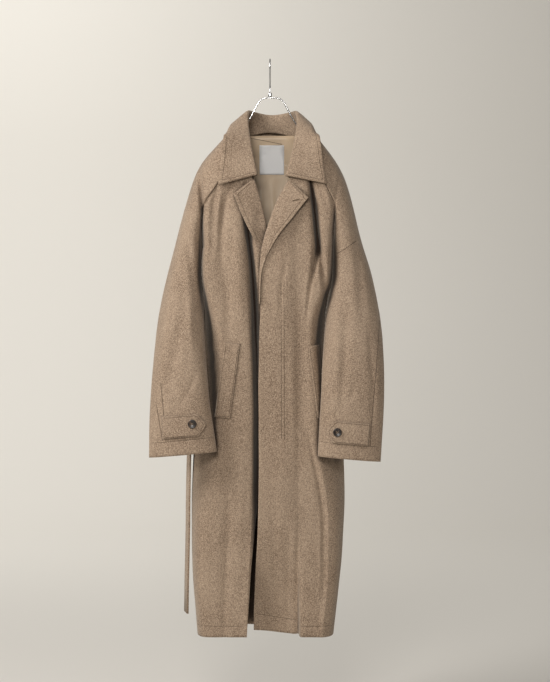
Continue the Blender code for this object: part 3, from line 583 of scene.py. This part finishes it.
# %% Swells and valleys
SWELL_RIGHT = ((((-0.118, -0.290), (-0.130, -0.308), (-0.158, -0.350)), 0.018, -0.0040),)
SWELL_LEFT = ((((0.122, -0.296), (0.132, -0.312), (0.146, -0.350)), 0.016, -0.0050),)
VALLEY_FRONT = (
    (((-0.052, -0.380), (-0.040, -0.560), (-0.027, -0.806), (-0.029, -1.060), (-0.040, -1.290),
      (-0.046, -1.500)), 0.013, 0.024),
)
VALLEY_BREAST = (
    (((0.098, -0.270), (0.1074, -0.368), (0.118, -0.470), (0.130, -0.590), (0.138, -0.660)), 0.010, 0.014),
)
VALLEY_SLEEVE_RIGHT = (
    (((-0.167, -0.250), (-0.163, -0.320), (-0.157, -0.380), (-0.156, -0.520)), 0.008, 0.016),
)
VALLEY_SLEEVE_LEFT = (
    (((0.168, -0.262), (0.158, -0.310), (0.150, -0.380)), 0.008, 0.008),
)
CREASES_LINING = (
    (((-0.022, -0.290), (-0.026, -0.470)), 0.009, 0.0026),
    (((0.004, -0.290), (0.010, -0.470)), 0.010, 0.0034),
    (((0.030, -0.290), (0.022, -0.470)), 0.009, 0.0026),
    (((0.044, -0.130), (0.038, -0.470)), 0.006, 0.0020),
)
print("creases in the lining", len(CREASES_LINING))

# %% [markdown]
# ## Pressing the folds in
# The lining and its label lie against the back, so they take the back's folds too. A sleeve is a tube that
# hangs forwards, so its two halves are told apart by the tube's own middle at each height.

# %% Pressing the folds in
PRESSED = (
    ("front_right", 1, FOLDS_RIGHT),
    ("front_left", 1, FOLDS_LEFT),
    ("back", -1, FOLDS_BACK),
    ("back_lining", -1, FOLDS_BACK),
    ("neck_label", -1, FOLDS_BACK),
    ("back_lining", -1, CREASES_LINING),
    ("front_right", 1, SWELL_RIGHT),
    ("sleeve_right", 1, SWELL_RIGHT),
    ("front_left", 1, SWELL_LEFT),
    ("sleeve_left", 1, SWELL_LEFT),
)
for node, side, folds in PRESSED:
    fold(SHELLS[node], folds, side)
fold(SHELLS["front_right"], VALLEY_FRONT, 1, pinched=True)
fold(SHELLS["front_left"], VALLEY_BREAST, 1, pinched=True)
SLEEVES = {
    "sleeve_right": (FOLDS_SLEEVE_RIGHT, FOLDS_SLEEVE_RIGHT_BACK, VALLEY_SLEEVE_RIGHT),
    "sleeve_left": (FOLDS_SLEEVE_LEFT, FOLDS_SLEEVE_LEFT_BACK, VALLEY_SLEEVE_LEFT),
}
for node, (front, behind, valley) in SLEEVES.items():
    middle = middle_line(SHELLS[node])
    fold(SHELLS[node], front, 1, middle)
    fold(SHELLS[node], behind, -1, middle)
    fold(SHELLS[node], valley, 1, middle, pinched=True)
print("pressed", len(PRESSED) + 2 + 3 * len(SLEEVES), "sets of folds")

# %% [markdown]
# ## Letting out and draping
# The solids are a little plainer than the hung coat. Here the body is let out where the sleeves hang
# against it, the left lapel's tail is narrowed, the lining reaches up under the collar, and the belt's
# hanging end turns to the front. Each is a soft shift of the points within a band, which keeps the surface
# smooth.

# %% Letting out
def let_out(piece, side, low, high, amount):
    """Let a panel out at the side between two heights, so that it meets the sleeve beside it."""
    starts, band, roundness = 0.09, 0.05, 0.6
    points = points_of(piece)
    rise = np.sin(np.pi * np.clip((points[:, 2] - low) / (high - low), 0, 1)) ** roundness
    points[:, 0] += side * amount * rise * eased((side * points[:, 0] - starts) / band)
    put_points(piece, points)


def narrow_tail(piece, top, bottom, least):
    """Narrow a lapel's tail towards the front's edge, where its x is smallest."""
    no_points, near, below = 9.0, 0.012, 0.01
    points = points_of(piece)
    heights = np.linspace(bottom - below, top, 12)
    edges = [points[np.abs(points[:, 2] - z) < near][:, 0].min(initial=no_points) for z in heights]
    lowest_sure = edges[3]
    edges = [lowest_sure if x == no_points else x for x in edges]
    edges = np.interp(points[:, 2], heights, edges)
    share = least + (1 - least) * eased((points[:, 2] - bottom) / (top - bottom))
    lower = points[:, 2] < top
    points[lower, 0] = (edges + (points[:, 0] - edges) * share)[lower]
    put_points(piece, points)


def raise_top(piece, band, amount):
    """Draw a piece's upper edge up, so that it reaches under what covers it."""
    points = points_of(piece)
    top = points[:, 2].max()
    points[:, 2] += amount * eased((points[:, 2] - top + band) / band)
    put_points(piece, points)


def turn_end(piece, side, top, amount):
    """Turn a belt's hanging end a little, so that its face shows from the front."""
    clear_of_body, band = 0.1, 0.10
    points = points_of(piece)
    hanging = (side * points[:, 0] > clear_of_body) & (points[:, 2] < top)
    middle = points[hanging, 1].mean()
    share = eased((top - points[:, 2]) / band) * hanging
    points[:, 0] -= side * amount * share * (points[:, 1] - middle)
    put_points(piece, points)


for node in ("front_right", "back"):
    let_out(SHELLS[node], -1, low=-0.70, high=-0.45, amount=0.0088)
for node in ("front_left", "back"):
    let_out(SHELLS[node], 1, low=-0.66, high=-0.42, amount=0.0040)
narrow_tail(SHELLS["facing_left"], top=-0.440, bottom=-0.530, least=0.30)
raise_top(SHELLS["back_lining"], band=0.030, amount=0.006)
turn_end(SHELLS["belt"], -1, top=-0.80, amount=-0.07)
print("let out, narrowed, raised and turned")

# %% [markdown]
# ## The collar's fall
# A collar of coating is heavy. Its middle keeps an even curve round the neck, while its free edge drops
# over the shoulders and hides the sleeves' upper edges from the side.

# %% Collar's fall
def level_middle(piece):
    """Draw the middle of the collar's back edge up into an even curve."""
    half_width, amount = 0.075, 0.013
    edge_z, band = -0.120, 0.070
    behind = 0.03
    points = points_of(piece)
    middle = eased(1 - np.abs(points[:, 0]) / half_width)
    low = eased((edge_z - points[:, 2]) / band)
    points[:, 2] += amount * middle * low * (points[:, 1] > behind)
    put_points(piece, points)


def drop_edge(piece):
    """Let the free edge fall over the shoulders. The left half reaches out a little further."""
    drop, spread = 0.017, 0.0035
    edge_starts, edge_band = 0.094, 0.011
    left_further, reach_behind = 0.005, 0.13
    front_y, front_band = -0.075, 0.060
    nape_y, nape_band, less_at_nape = 0.02, 0.06, 0.5
    points = points_of(piece)
    x, y = points[:, 0], points[:, 1]
    reach = np.abs(x) - left_further * (x > 0) + reach_behind * np.maximum(y, 0)
    outer = eased((reach - edge_starts) / edge_band)
    over = eased((y - front_y) / front_band) * (1 - less_at_nape * eased((y - nape_y) / nape_band))
    points[:, 2] -= drop * outer * over
    points[:, 0] += spread * outer * over * np.sign(x)
    put_points(piece, points)


level_middle(SHELLS["collar"])
drop_edge(SHELLS["collar"])
print("collar from x", round(points_of(SHELLS["collar"])[:, 0].min(), 4),
      "to", round(points_of(SHELLS["collar"])[:, 0].max(), 4))

# %% [markdown]
# ## Unevenness
# No cloth lies quite even. Five long waves, crossing each other, move every cloth piece by about a
# millimetre at most. The waves depend on the place alone, so pieces that touch move together and no seam
# opens. Random shifts would need care to do that, and would differ at each run.

# %% Unevenness
UNEVEN = 0.00022         # the height of one wave
UNEVEN_SIDEWAYS = 0.6    # the share of it that goes sideways
# Each wave's turns along x, y and z, and where it starts.
WAVES = ((31, 7, 12, 0.3), (-19, 14, 21, 1.7), (47, -11, -9, 2.9), (13, 33, 41, 4.1), (-58, 21, 16, 5.3))


def unevenness(points):
    return UNEVEN * sum(np.sin(points @ np.array(turns) + phase) for *turns, phase in WAVES)


UNEVEN_PIECES = ("back", "front_right", "front_left", "sleeve_right", "sleeve_left", "back_lining",
                 "collar", "facing_right", "facing_left", "belt", "neck_label")
for node in UNEVEN_PIECES:
    points = points_of(SHELLS[node])
    points[:, 1] += unevenness(points)
    points[:, 0] += UNEVEN_SIDEWAYS * unevenness(points[:, (2, 0, 1)])
    put_points(SHELLS[node], points)
print("uneven", len(UNEVEN_PIECES), "pieces")

# %% [markdown]
# ## What lies on the panels
# Welts and cuff tabs are strips cut on the straight, turned and pressed. They are laid afresh over the
# folded panels, on the highest points near each of their own, so that they bridge small folds as pressed
# cloth does. A shrinkwrap would follow every fold instead.

# %% Finding the cloth
TREES = {}
FAR = 0.5                # a ray starts this far in front of or behind the coat
BRIDGE = 0.004           # a strip rests on the highest cloth within this distance


def tree_over(name):
    """A search tree over a shell's faces, made once."""
    if name not in TREES:
        work = bmesh.new()
        work.from_mesh(SHELLS[name].data)
        TREES[name] = BVHTree.FromBMesh(work)
        work.free()
    return TREES[name]


def cast(tree, x, z, side=1):
    """Where a ray along +Y (side 1) or -Y (side -1) first meets a shell: the point and its normal."""
    place, normal, _, _ = tree.ray_cast(Vector((x, -side * FAR, z)), Vector((0, side, 0)))
    return None if place is None else (place, normal)


def bridged(tree, x, z):
    """The y of the foremost cloth close by."""
    near = (-BRIDGE, 0, BRIDGE)
    hits = [cast(tree, x + dx, z + dz) for dx in near for dz in near]
    return min(hit[0].y for hit in hits if hit)


print("cloth at the fly", [round(c, 4) for c in cast(tree_over("front_left"), 0.03, -0.7)[0]])

# %% [markdown]
# ## Welts and tabs
# A flat grid of faces is moved onto the cloth point by point, then given its thickness. Its edges are
# rolled down a little, as a turned and pressed edge is, and a tab's far end is drawn in to a blunt point.

# %% Welts and tabs
STRIP_WALL = 0.0023
STRIP_RISE = 0.0025      # the upper face's height over the lift
ROLL = 0.0009            # how far the edges are rolled down
BLUNT = 0.06             # the part of the width that a point keeps
ROLL_ACROSS = 10         # powers: the higher, the nearer to the edge the roll stays
ROLL_ALONG = 14


def strip_frame(start, end):
    """A strip's start, its direction, the direction across it and its length, over x and z."""
    start, end = Vector(start), Vector(end)
    run = (end - start).normalized()
    return start, run, Vector((-run.y, run.x)), (end - start).length


def laid_strip(name, node, under, start, end, half_width, lift, point=0.0):
    """A pressed strip over a panel, from start to end. A point narrows its far end."""
    tree = tree_over(under)
    start, run, aside, length = strip_frame(start, end)
    grid = bmesh.new()
    bmesh.ops.create_grid(grid, x_segments=40, y_segments=14, size=0.5)
    for vert in grid.verts:
        along, across = vert.co.x + 0.5, vert.co.y * 2
        to_end = length * (1 - along)
        half = half_width
        if point:
            half *= BLUNT + (1 - BLUNT) * min(to_end / point, 1.0)
        place = start + run * (length * along) + aside * (across * half)
        at_end = abs(along * 2 - 1) ** (ROLL_ALONG * length / half_width)
        edge = max(abs(across) ** ROLL_ACROSS, at_end)
        y = bridged(tree, place.x, place.y) - lift - STRIP_RISE + ROLL * edge
        vert.co = (place.x, y, place.y)
    bmesh.ops.recalc_face_normals(grid, faces=grid.faces)
    if sum(face.normal.y for face in grid.faces) > 0:
        bmesh.ops.reverse_faces(grid, faces=grid.faces)
    piece = object_of(name, grid)
    thick = piece.modifiers.new("wall", "SOLIDIFY")
    thick.thickness = STRIP_WALL
    thick.offset = -1
    apply_modifiers(piece)
    SHELLS[name] = finished(piece, WOOL, node)


POCKETS = {"right": ((-0.0876, -0.676), (-0.1110, -0.852)), "left": ((0.1022, -0.682), (0.1252, -0.852))}
WELT_HALF_WIDTHS = {"right": 0.019, "left": 0.014}
WELT_LIFT = 0.0006
TABS = {"right": ((-0.2480, -0.8720), (-0.1465, -0.8640)), "left": ((0.2290, -0.8885), (0.1290, -0.8795))}
TAB_HALF_WIDTH = 0.026
TAB_POINT = 0.018
TAB_LIFT = 0.0018
for hand in ("right", "left"):
    laid_strip("welt_" + hand, "pocket_welt_" + hand, "front_" + hand, *POCKETS[hand],
               WELT_HALF_WIDTHS[hand], WELT_LIFT)
    laid_strip("tab_" + hand, "cuff_tab_" + hand, "sleeve_" + hand, *TABS[hand],
               TAB_HALF_WIDTH, TAB_LIFT, TAB_POINT)
    print(hand, "welt and tab laid")

# %% [markdown]
# ## Buttons
# Turned horn discs with a raised rim and a dished middle. Half a profile is drawn and spun, as on a lathe.

# %% Button discs
BUTTONS = {"right": (-0.1785, -0.8624), "left": (0.1553, -0.8818)}
BUTTON_PROFILE = ((0.0, 0.0004), (0.0086, 0.0), (0.0100, 0.0010), (0.0101, 0.0026), (0.0094, 0.0036),
                  (0.0082, 0.0037), (0.0068, 0.0028), (0.0, 0.0022))
BUTTON_LIFT = 0.0008
TURN_TO_FRONT = Matrix.Rotation(math.radians(90), 3, "X")


def button(hand):
    """A disc on its tab, facing the front; gives the middle of its back."""
    x, z = BUTTONS[hand]
    back = Vector((x, cast(tree_over("tab_" + hand), x, z)[0].y - BUTTON_LIFT, z))
    disc = bmesh.new()
    verts = [disc.verts.new((radius, 0, height)) for radius, height in BUTTON_PROFILE]
    edges = [disc.edges.new(pair) for pair in zip(verts, verts[1:])]
    bmesh.ops.spin(disc, geom=verts + edges, cent=(0, 0, 0), axis=(0, 0, 1), angle=2 * math.pi,
                   steps=40, use_merge=True)
    bmesh.ops.remove_doubles(disc, verts=disc.verts, dist=0.00001)
    bmesh.ops.recalc_face_normals(disc, faces=disc.faces)
    bmesh.ops.rotate(disc, verts=disc.verts, cent=(0, 0, 0), matrix=TURN_TO_FRONT)
    bmesh.ops.translate(disc, verts=disc.verts, vec=back)
    piece = finished(object_of("button_" + hand, disc), HORN, "cuff_button_" + hand)
    return back


print("button's diameter", 2 * max(radius for radius, _ in BUTTON_PROFILE))

# %% [markdown]
# ## Thread in the buttons
# Each button has four holes with thread crossed between them. Real holes cut through a disc this small
# would hardly show, so the shade in the holes is painted as dark flat rounds just over its face, and the
# thread is two long spindles.

# %% Button threads
FACE_HEIGHT = 0.0025     # the dished face over the button's back
HOLE_APART = 0.0019      # from the button's middle along x and along z
HOLE_RADIUS = 0.0009
HOLE_LIFT = 0.00015
CROSS = (0.0027, 0.0006, 0.0006, 1)


def button_thread(hand, back):
    middle = back - Vector((0, FACE_HEIGHT, 0))
    sewn = bmesh.new()
    for turn in (45, 135):
        turned = Matrix.Translation(middle) @ Matrix.Rotation(math.radians(turn), 4, "Y")
        bmesh.ops.create_uvsphere(sewn, u_segments=8, v_segments=6, radius=1,
                                  matrix=turned @ Matrix.Diagonal(CROSS))
    for dx in (-HOLE_APART, HOLE_APART):
        for dz in (-HOLE_APART, HOLE_APART):
            hole = Matrix.Translation(middle + Vector((dx, -HOLE_LIFT, dz)))
            # Painted shade: a dark round in the thread's colour for each hole.
            bmesh.ops.create_circle(sewn, cap_ends=True, segments=10, radius=HOLE_RADIUS,
                                    matrix=hole @ TURN_TO_FRONT.to_4x4())
    finished(object_of("button_thread_" + hand, sewn), THREAD)
    print(hand, "button sewn on")


for hand in ("right", "left"):
    button_thread(hand, back=button(hand))

# %% [markdown]
# ## Hollows
# Deep in a fold little light reaches the nap, and the eye reads the fold by that dark line. For each point
# this measures how far it lies behind the cloth that stands within a finger's width on both its sides, and
# keeps it as an attribute from which the wool paints shade into its colour. The light's own shadows do
# some of the darkening, and this painted shade adds more. First the cloth that stands outermost is mapped,
# once for the front and once for the back.

# %% Maps of the outermost cloth
CELL = 0.004
REACH = 3                # cells looked at on each side
NO_CLOTH = 9.0
MARGIN = 0.05
MAP_SHAPE = (170, 370)   # cells, enough for the whole coat
WOOL_SHELLS = [name for name, piece in SHELLS.items()
               if piece.data.materials[0] == WOOL and name != "collar"]
MAP_CORNER = np.array(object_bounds()[0])[[0, 2]] - MARGIN


def cells_of(points):
    """The cell over x and z in which each point lies."""
    return tuple(((points[:, (0, 2)] - MAP_CORNER) / CELL).astype(int).T)


def rolled(values, steps, axis):
    return [np.roll(values, step, axis) for step in steps]


def level_map(side):
    """In each cell, the level between the outermost cloth to the left and to the right."""
    front = np.full(MAP_SHAPE, NO_CLOTH)
    for name in WOOL_SHELLS:
        points = points_of(SHELLS[name])
        np.minimum.at(front, cells_of(points), side * points[:, 1])
    for axis in (0, 1):
        front = np.minimum.reduce(rolled(front, (-1, 0, 1), axis))
    left = np.minimum.reduce(rolled(front, range(-REACH, 0), 0))
    right = np.minimum.reduce(rolled(front, range(1, REACH + 1), 0))
    level = np.maximum(left, right)
    for _ in range(2):
        level = sum(near for axis in (0, 1) for near in rolled(level, (-1, 0, 1), axis)) / 6
    return level


MAPS = {side: level_map(side) for side in (1, -1)}
print("mapped", {side: int((level < 1).sum()) for side, level in MAPS.items()}, "cells of cloth")

# %% [markdown]
# ## How hollow each point is
# A point a few millimetres behind its neighbours is in a fold. One far behind them isn't: there the sleeve
# and the body stand apart, and light comes in between, so the dark fades again away from the middle. Cloth
# that faces sideways is lit from there and counts for little.

# %% Hollow attribute
SHALLOW, DEEP = 0.005, 0.016
GAP_NEAR, GAP_FAR = 0.028, 0.060
SLEEVES_START, SLEEVES_BAND = 0.07, 0.03
SIDEWAYS, FRONTAL = 0.08, 0.30
TURNED_FROM, TURNED_BAND = 0.30, 0.40
KEPT_IN_GAPS = 0.6       # of the dark, on cloth in a gap that faces the front


def spread_out(piece, values, rounds):
    """Even a value out over the neighbouring points of a mesh."""
    pairs = np.empty(len(piece.data.edges) * 2, dtype=int)
    piece.data.edges.foreach_get("vertices", pairs)
    a, b = pairs.reshape(-1, 2).T
    count = np.bincount(a, minlength=len(values)) + np.bincount(b, minlength=len(values)) + 1
    for _ in range(rounds):
        near = np.bincount(a, values[b], len(values)) + np.bincount(b, values[a], len(values))
        values = (values + near) / count
    return values


def painted_shade_from(points, facing, side):
    """How hollow points are, seen from one side, as the share of painted shade that they get."""
    behind = side * points[:, 1] - MAPS[side][cells_of(points)]
    folded = eased((behind - SHALLOW) / (DEEP - SHALLOW))
    apart = eased((behind - GAP_NEAR) / (GAP_FAR - GAP_NEAR))
    apart *= eased((np.abs(points[:, 0]) - SLEEVES_START) / SLEEVES_BAND)
    turned = eased((facing - TURNED_FROM) / TURNED_BAND)
    return folded * (1 - apart * (1 - KEPT_IN_GAPS * turned))


def set_painted_shade(piece):
    """Keep on a piece how much shade is painted on each of its points, from how hollow it is, and give the
    mean.
    """
    points = points_of(piece)
    normals = np.empty(len(points) * 3)
    piece.data.vertices.foreach_get("normal", normals)
    across = normals.reshape(-1, 3)[:, 1]
    facing = np.abs(across)
    values = np.where(across < 0, painted_shade_from(points, facing, 1), painted_shade_from(points, facing, -1))
    values = spread_out(piece, values * eased((facing - SIDEWAYS) / (FRONTAL - SIDEWAYS)), 2)
    layer = piece.data.attributes.new("painted_shade", "FLOAT", "POINT")
    layer.data.foreach_set("value", values)
    return values.mean()


for name in WOOL_SHELLS:
    print(name, "painted_shade", round(float(set_painted_shade(SHELLS[name])), 3))

# %% [markdown]
# ## Stitches and grooves
# A seam shows as a fine dark groove, and topstitching as a row of short stitches sunk in one. Texture
# alone would blur at this size, so each stitch is a small spindle, laid where a ray meets the cloth, and
# the shade in each groove is painted as a thin dark cord that just breaks its surface.

# %% Stitches and grooves
STITCH = 0.0036          # from one stitch to the next
STITCH_HALF = 0.36       # half a stitch's length, as a part of that
THREAD_RADIUS = 0.00045
THREAD_LIFT = 0.0001
GROOVE_RADIUS = 0.0006
GROOVE_STEP = 0.006


def laid_path(node, path, step, side):
    """Points along a path over x and z, with normals, where rays meet a shell."""
    tree = tree_over(node)
    found = []
    for start, end in zip(path, path[1:]):
        start, end = Vector(start), Vector(end)
        count = max(1, round((end - start).length / step))
        for i in range(count):
            place = start.lerp(end, (i + 0.5) / count)
            hit = cast(tree, place.x, place.y, side)
            if hit:
                found.append(hit)
    return found


def grooves(name, node, side, paths, radius=GROOVE_RADIUS, sunk=0.3):
    """Thin dark cords of painted groove shade along paths over a shell, sunk in it by a part of their
    radius.
    """
    curve = bpy.data.curves.new(name, "CURVE")
    curve.dimensions = "3D"
    curve.bevel_depth = radius
    curve.bevel_resolution = 1
    curve.use_fill_caps = True
    for path in paths:
        found = laid_path(node, path, GROOVE_STEP, side)
        spline = curve.splines.new("POLY")
        spline.points.add(len(found) - 1)
        for point, (place, normal) in zip(spline.points, found):
            point.co = (*(place - normal * radius * sunk), 1)
    cord = bpy.data.objects.new(name, curve)
    bpy.context.scene.collection.objects.link(cord)
    mesh = bpy.data.meshes.new_from_object(cord.evaluated_get(bpy.context.evaluated_depsgraph_get()))
    bpy.data.objects.remove(cord)
    piece = bpy.data.objects.new(name, mesh)
    bpy.context.scene.collection.objects.link(piece)
    finished(piece, PAINTED_GROOVE_SHADE)


def stitches(name, node, side, paths):
    """A row of stitches along each path over a shell."""
    work = bmesh.new()
    shape = Matrix.Diagonal((STITCH * STITCH_HALF, THREAD_RADIUS, THREAD_RADIUS, 1))
    for path in paths:
        found = laid_path(node, path, STITCH, side)
        for (place, normal), (ahead, _) in zip(found, found[1:]):
            run = ahead - place
            if run.length > 3 * STITCH:
                continue
            turn = run.to_track_quat("X", "Z").to_matrix().to_4x4()
            matrix = Matrix.Translation(place + normal * THREAD_LIFT) @ turn @ shape
            bmesh.ops.create_uvsphere(work, u_segments=5, v_segments=4, radius=1, matrix=matrix)
    piece = object_of(name, work)
    finished(piece, THREAD)
    print(name, "faces", len(piece.data.polygons))


# %% [markdown]
# ## Topstitching
# The collar, lapels, fly, hems, cuffs, welts and tabs are topstitched, a few millimetres in from their
# edges. A row is a list of paths over x and z on one shell, seen from the front (1) or the back (-1).

# %% Topstitching
ROWS = [
    ("collar", "collar", 1,
     [((-0.104, -0.168), (-0.102, -0.197), (-0.1065, -0.250), (-0.1125, -0.296), (-0.075, -0.2865),
       (-0.034, -0.2756)),
      ((0.103, -0.168), (0.1095, -0.195), (0.1163, -0.250), (0.1238, -0.2938), (0.080, -0.2855),
       (0.0415, -0.2772))]),
    ("collar_back", "collar", -1,
     [((-0.096, -0.170), (-0.050, -0.192), (0.0, -0.200), (0.050, -0.193), (0.101, -0.170))]),
    ("facing_left", "facing_left", 1,
     [((0.050, -0.303), (0.080, -0.3345), (0.043, -0.384), (0.011, -0.424), (-0.0125, -0.480))]),
    ("facing_right", "facing_right", 1,
     [((-0.045, -0.300), (-0.0755, -0.3285), (-0.0535, -0.384), (-0.0305, -0.429), (0.000, -0.480))]),
    ("front_left", "front_left", 1,
     [((0.0257, -0.536), (0.0262, -0.700), (0.0270, -0.903)),
      ((0.0327, -0.536), (0.0332, -0.700), (0.0340, -0.903)),
      ((-0.035, -1.318), (0.065, -1.330)),
      ((0.072, -1.338), (0.148, -1.338))]),
    ("front_right", "front_right", 1, [((-0.170, -1.338), (-0.060, -1.338))]),
    ("back", "back", -1,
     [((-0.150, -1.338), (0.140, -1.338)), ((0.004, -0.240), (0.006, -0.600), (0.002, -0.900))]),
    ("sleeve_right", "sleeve_right", 1, [((-0.130, -0.894), (-0.278, -0.908))]),
    ("sleeve_left", "sleeve_left", 1, [((0.115, -0.904), (0.255, -0.917))]),
    ("sleeve_right_back", "sleeve_right", -1, [((-0.135, -0.894), (-0.272, -0.908))]),
    ("sleeve_left_back", "sleeve_left", -1, [((0.120, -0.904), (0.250, -0.917))]),
]


def inset_strip(start, end, half_width, point, margin):
    """The stitched line of a laid strip, a margin in from its edge, down both sides and round one end."""
    blunt = 0.12
    start, run, aside, length = strip_frame(start, end)
    half = half_width - margin
    upper = [(margin, half), (length - margin, half)]
    if point:
        upper = [(margin, half), (length - point - margin, half), (length - 2 * margin, blunt * half)]
    lower = [(along, -across) for along, across in reversed(upper)]
    return [tuple(start + run * along + aside * across) for along, across in upper + lower]


for hand in ("right", "left"):
    welt = inset_strip(*POCKETS[hand], WELT_HALF_WIDTHS[hand], point=0.0, margin=0.0045)
    tab = inset_strip(*TABS[hand], TAB_HALF_WIDTH, TAB_POINT, margin=0.0035)
    ROWS += [("welt_" + hand, "welt_" + hand, 1, [welt]), ("tab_" + hand, "tab_" + hand, 1, [tab])]
for name, node, side, paths in ROWS:
    stitches("stitches_" + name, node, side, paths)
    # The groove under each row is a dark cord of painted shade.
    grooves("groove_" + name, node, side, paths)

# %% [markdown]
# ## Seams
# Each sleeve is sewn along its outer side, and a short groove marks where its raglan seam runs to the
# underarm. The left sleeve also has a short join across its upper part, and the back is sewn down its
# middle. The other seams need no groove, because there the pieces' own edges meet.

# %% Seams
SEAM_RADIUS = 0.0008
SEAM_SUNK = 0.2
SEAMS = (
    ("seam_sleeve_right", "sleeve_right", 1,
     [((-0.2523, -0.765), (-0.2441, -0.847)),
      ((-0.264, -0.809), (-0.247, -0.905)),
      ((-0.133, -0.331), (-0.154, -0.352))]),
    ("seam_sleeve_left", "sleeve_left", 1,
     [((0.257, -0.622), (0.2350, -0.852), (0.2313, -0.918)),
      ((0.206, -0.434), (0.168, -0.461), (0.1565, -0.466)),
      ((0.138, -0.331), (0.150, -0.349))]),
    ("seam_back", "back", -1, [((0.000, -0.200), (0.002, -0.600), (-0.002, -1.000))]),
    ("seam_sleeve_right_back", "sleeve_right", -1,
     [((-0.200, -0.330), (-0.235, -0.560), (-0.236, -0.900))]),
    ("seam_sleeve_left_back", "sleeve_left", -1,
     [((0.195, -0.330), (0.228, -0.560), (0.226, -0.905))]),
)
for name, node, side, paths in SEAMS:
    # Each seam's groove is a dark cord of painted shade.
    grooves(name, node, side, paths, SEAM_RADIUS, SEAM_SUNK)
print("seams", len(SEAMS))

# %% [markdown]
# ## Buttonhole
# The left lapel has a worked buttonhole: a slit with close stitches across both its lips. It isn't cut
# through, because the slit of a real one lies closed.

# %% Buttonhole
HOLE_START, HOLE_END = (0.0530, -0.3440), (0.0695, -0.3405)
LIP_APART = 0.0011       # from the slit's middle
LIP_STITCHES = 26
LIP_STITCH = (0.0011, 0.0005, 0.0004, 1)
SLIT_HALF_WIDTH = 0.0007


def spindle(work, place, along, shape, segments):
    """A ball drawn out to a shape, laid on the left lapel along a direction over x and z."""
    hit = cast(tree_over("facing_left"), place.x, place.y)
    turn = Matrix.Rotation(-math.atan2(along.y, along.x), 4, "Y")
    bmesh.ops.create_uvsphere(work, u_segments=segments[0], v_segments=segments[1], radius=1,
                              matrix=Matrix.Translation(hit[0]) @ turn @ Matrix.Diagonal(shape))


start, run, aside, length = strip_frame(HOLE_START, HOLE_END)
lips, slit = bmesh.new(), bmesh.new()
for i in range(LIP_STITCHES):
    place = start + run * (length * i / (LIP_STITCHES - 1))
    for across in (-LIP_APART, LIP_APART):
        spindle(lips, place + aside * across, aside, LIP_STITCH, (6, 4))
# The slit is a dark spindle of painted shade.
spindle(slit, start + run * (length / 2), run, (length / 2, SLIT_HALF_WIDTH, SLIT_HALF_WIDTH, 1), (12, 8))
finished(object_of("buttonhole_lips", lips), THREAD)
finished(object_of("buttonhole_slit", slit), PAINTED_GROOVE_SHADE)
print("buttonhole", round(length, 4))

# %% [markdown]
# ## Backdrop
# A plain pale sweep behind and below. Two flat sheets would meet in a line, so one sheet curves up
# from the floor. It is stage, and no part of the coat.

# %% Backdrop
FLOOR_Z = -1.62
BACK_Y = 6.5             # further off than a camera four metres behind the coat
BACK_TOP = 6.0
NEAR_Y = -7.0
HALF_SPAN = 9.0
BEND = 2.2               # radius of the curve that leads up from the floor
BEND_STEPS = 14


def sweep():
    """A floor that curves up into a pale backdrop."""
    grid = bmesh.new()
    bend_y = BACK_Y - BEND
    profile = [(NEAR_Y, FLOOR_Z), (bend_y, FLOOR_Z)]
    for angle in np.linspace(0.1, math.pi / 2, BEND_STEPS):
        profile.append((bend_y + BEND * math.sin(angle), FLOOR_Z + BEND * (1 - math.cos(angle))))
    profile.append((BACK_Y, BACK_TOP))
    rows = [[grid.verts.new((x, y, z)) for y, z in profile] for x in (-HALF_SPAN, HALF_SPAN)]
    edges = [grid.edges.new(pair) for row in rows for pair in zip(row, row[1:])]
    bmesh.ops.bridge_loops(grid, edges=edges)
    floor = object_of("sweep", grid)
    floor.data.shade_smooth()
    paper, tree, shader = shader_of("pale_paper", 0.9)
    shader.inputs["Base Color"].default_value = (0.74, 0.715, 0.665, 1)
    floor.data.materials.append(paper)
    print("sweep faces", len(floor.data.polygons))


sweep()

# %% [markdown]
# ## Lights
# A key light close by at the front left makes the wearer's right sleeve, at the picture's left, the bright
# one and leaves the other side softly shaded. A second one, further off at the front, opens the folds, a
# wash behind the coat brightens the backdrop's left, and a dim warm world fills the rest.

# %% Lights
# Each light's place, what it points at, its width and height, its power in watts, and its colour.
LIGHTS = (
    ("key", (-1.85, -1.25, 0.85), (0, 0, -0.40), (1.0, 1.3), 53, (1.0, 0.975, 0.95)),
    ("front", (-0.4, -3.8, 0.50), (0, 0, -0.15), (0.9, 0.9), 66, (1.0, 0.97, 0.94)),
    ("wash", (-2.2, 3.1, 2.7), (-1.1, 6.5, -0.9), (2.4, 2.0), 135, (1.0, 0.99, 0.97)),
)
WORLD_COLOUR = (1.0, 0.97, 0.93, 1)
WORLD_STRENGTH = 0.26


def area_light(name, place, target, size, power, colour):
    lamp = bpy.data.lights.new(name, "AREA")
    lamp.shape = "RECTANGLE"
    lamp.size, lamp.size_y = size
    lamp.energy = power
    lamp.color = colour
    holder = bpy.data.objects.new(name, lamp)
    holder.location = place
    holder.rotation_euler = (Vector(target) - Vector(place)).to_track_quat("-Z", "Y").to_euler()
    bpy.context.scene.collection.objects.link(holder)


for light in LIGHTS:
    area_light(*light)
world = bpy.data.worlds.new("studio")
bpy.context.scene.world = world
world.use_nodes = True
sky = world.node_tree.nodes["Background"]
sky.inputs["Color"].default_value = WORLD_COLOUR
sky.inputs["Strength"].default_value = WORLD_STRENGTH
bpy.context.scene.view_settings.view_transform = "Standard"

# %% [markdown]
# ## Slots
# A slot lets a user give the same finish to all the pieces made of one material. Everything cut from the
# coating shares one wool material; lining, label and chrome have their own. This cell only counts the
# pieces.

# %% Slots
print("slots on", len(SHELLS), "pieces")
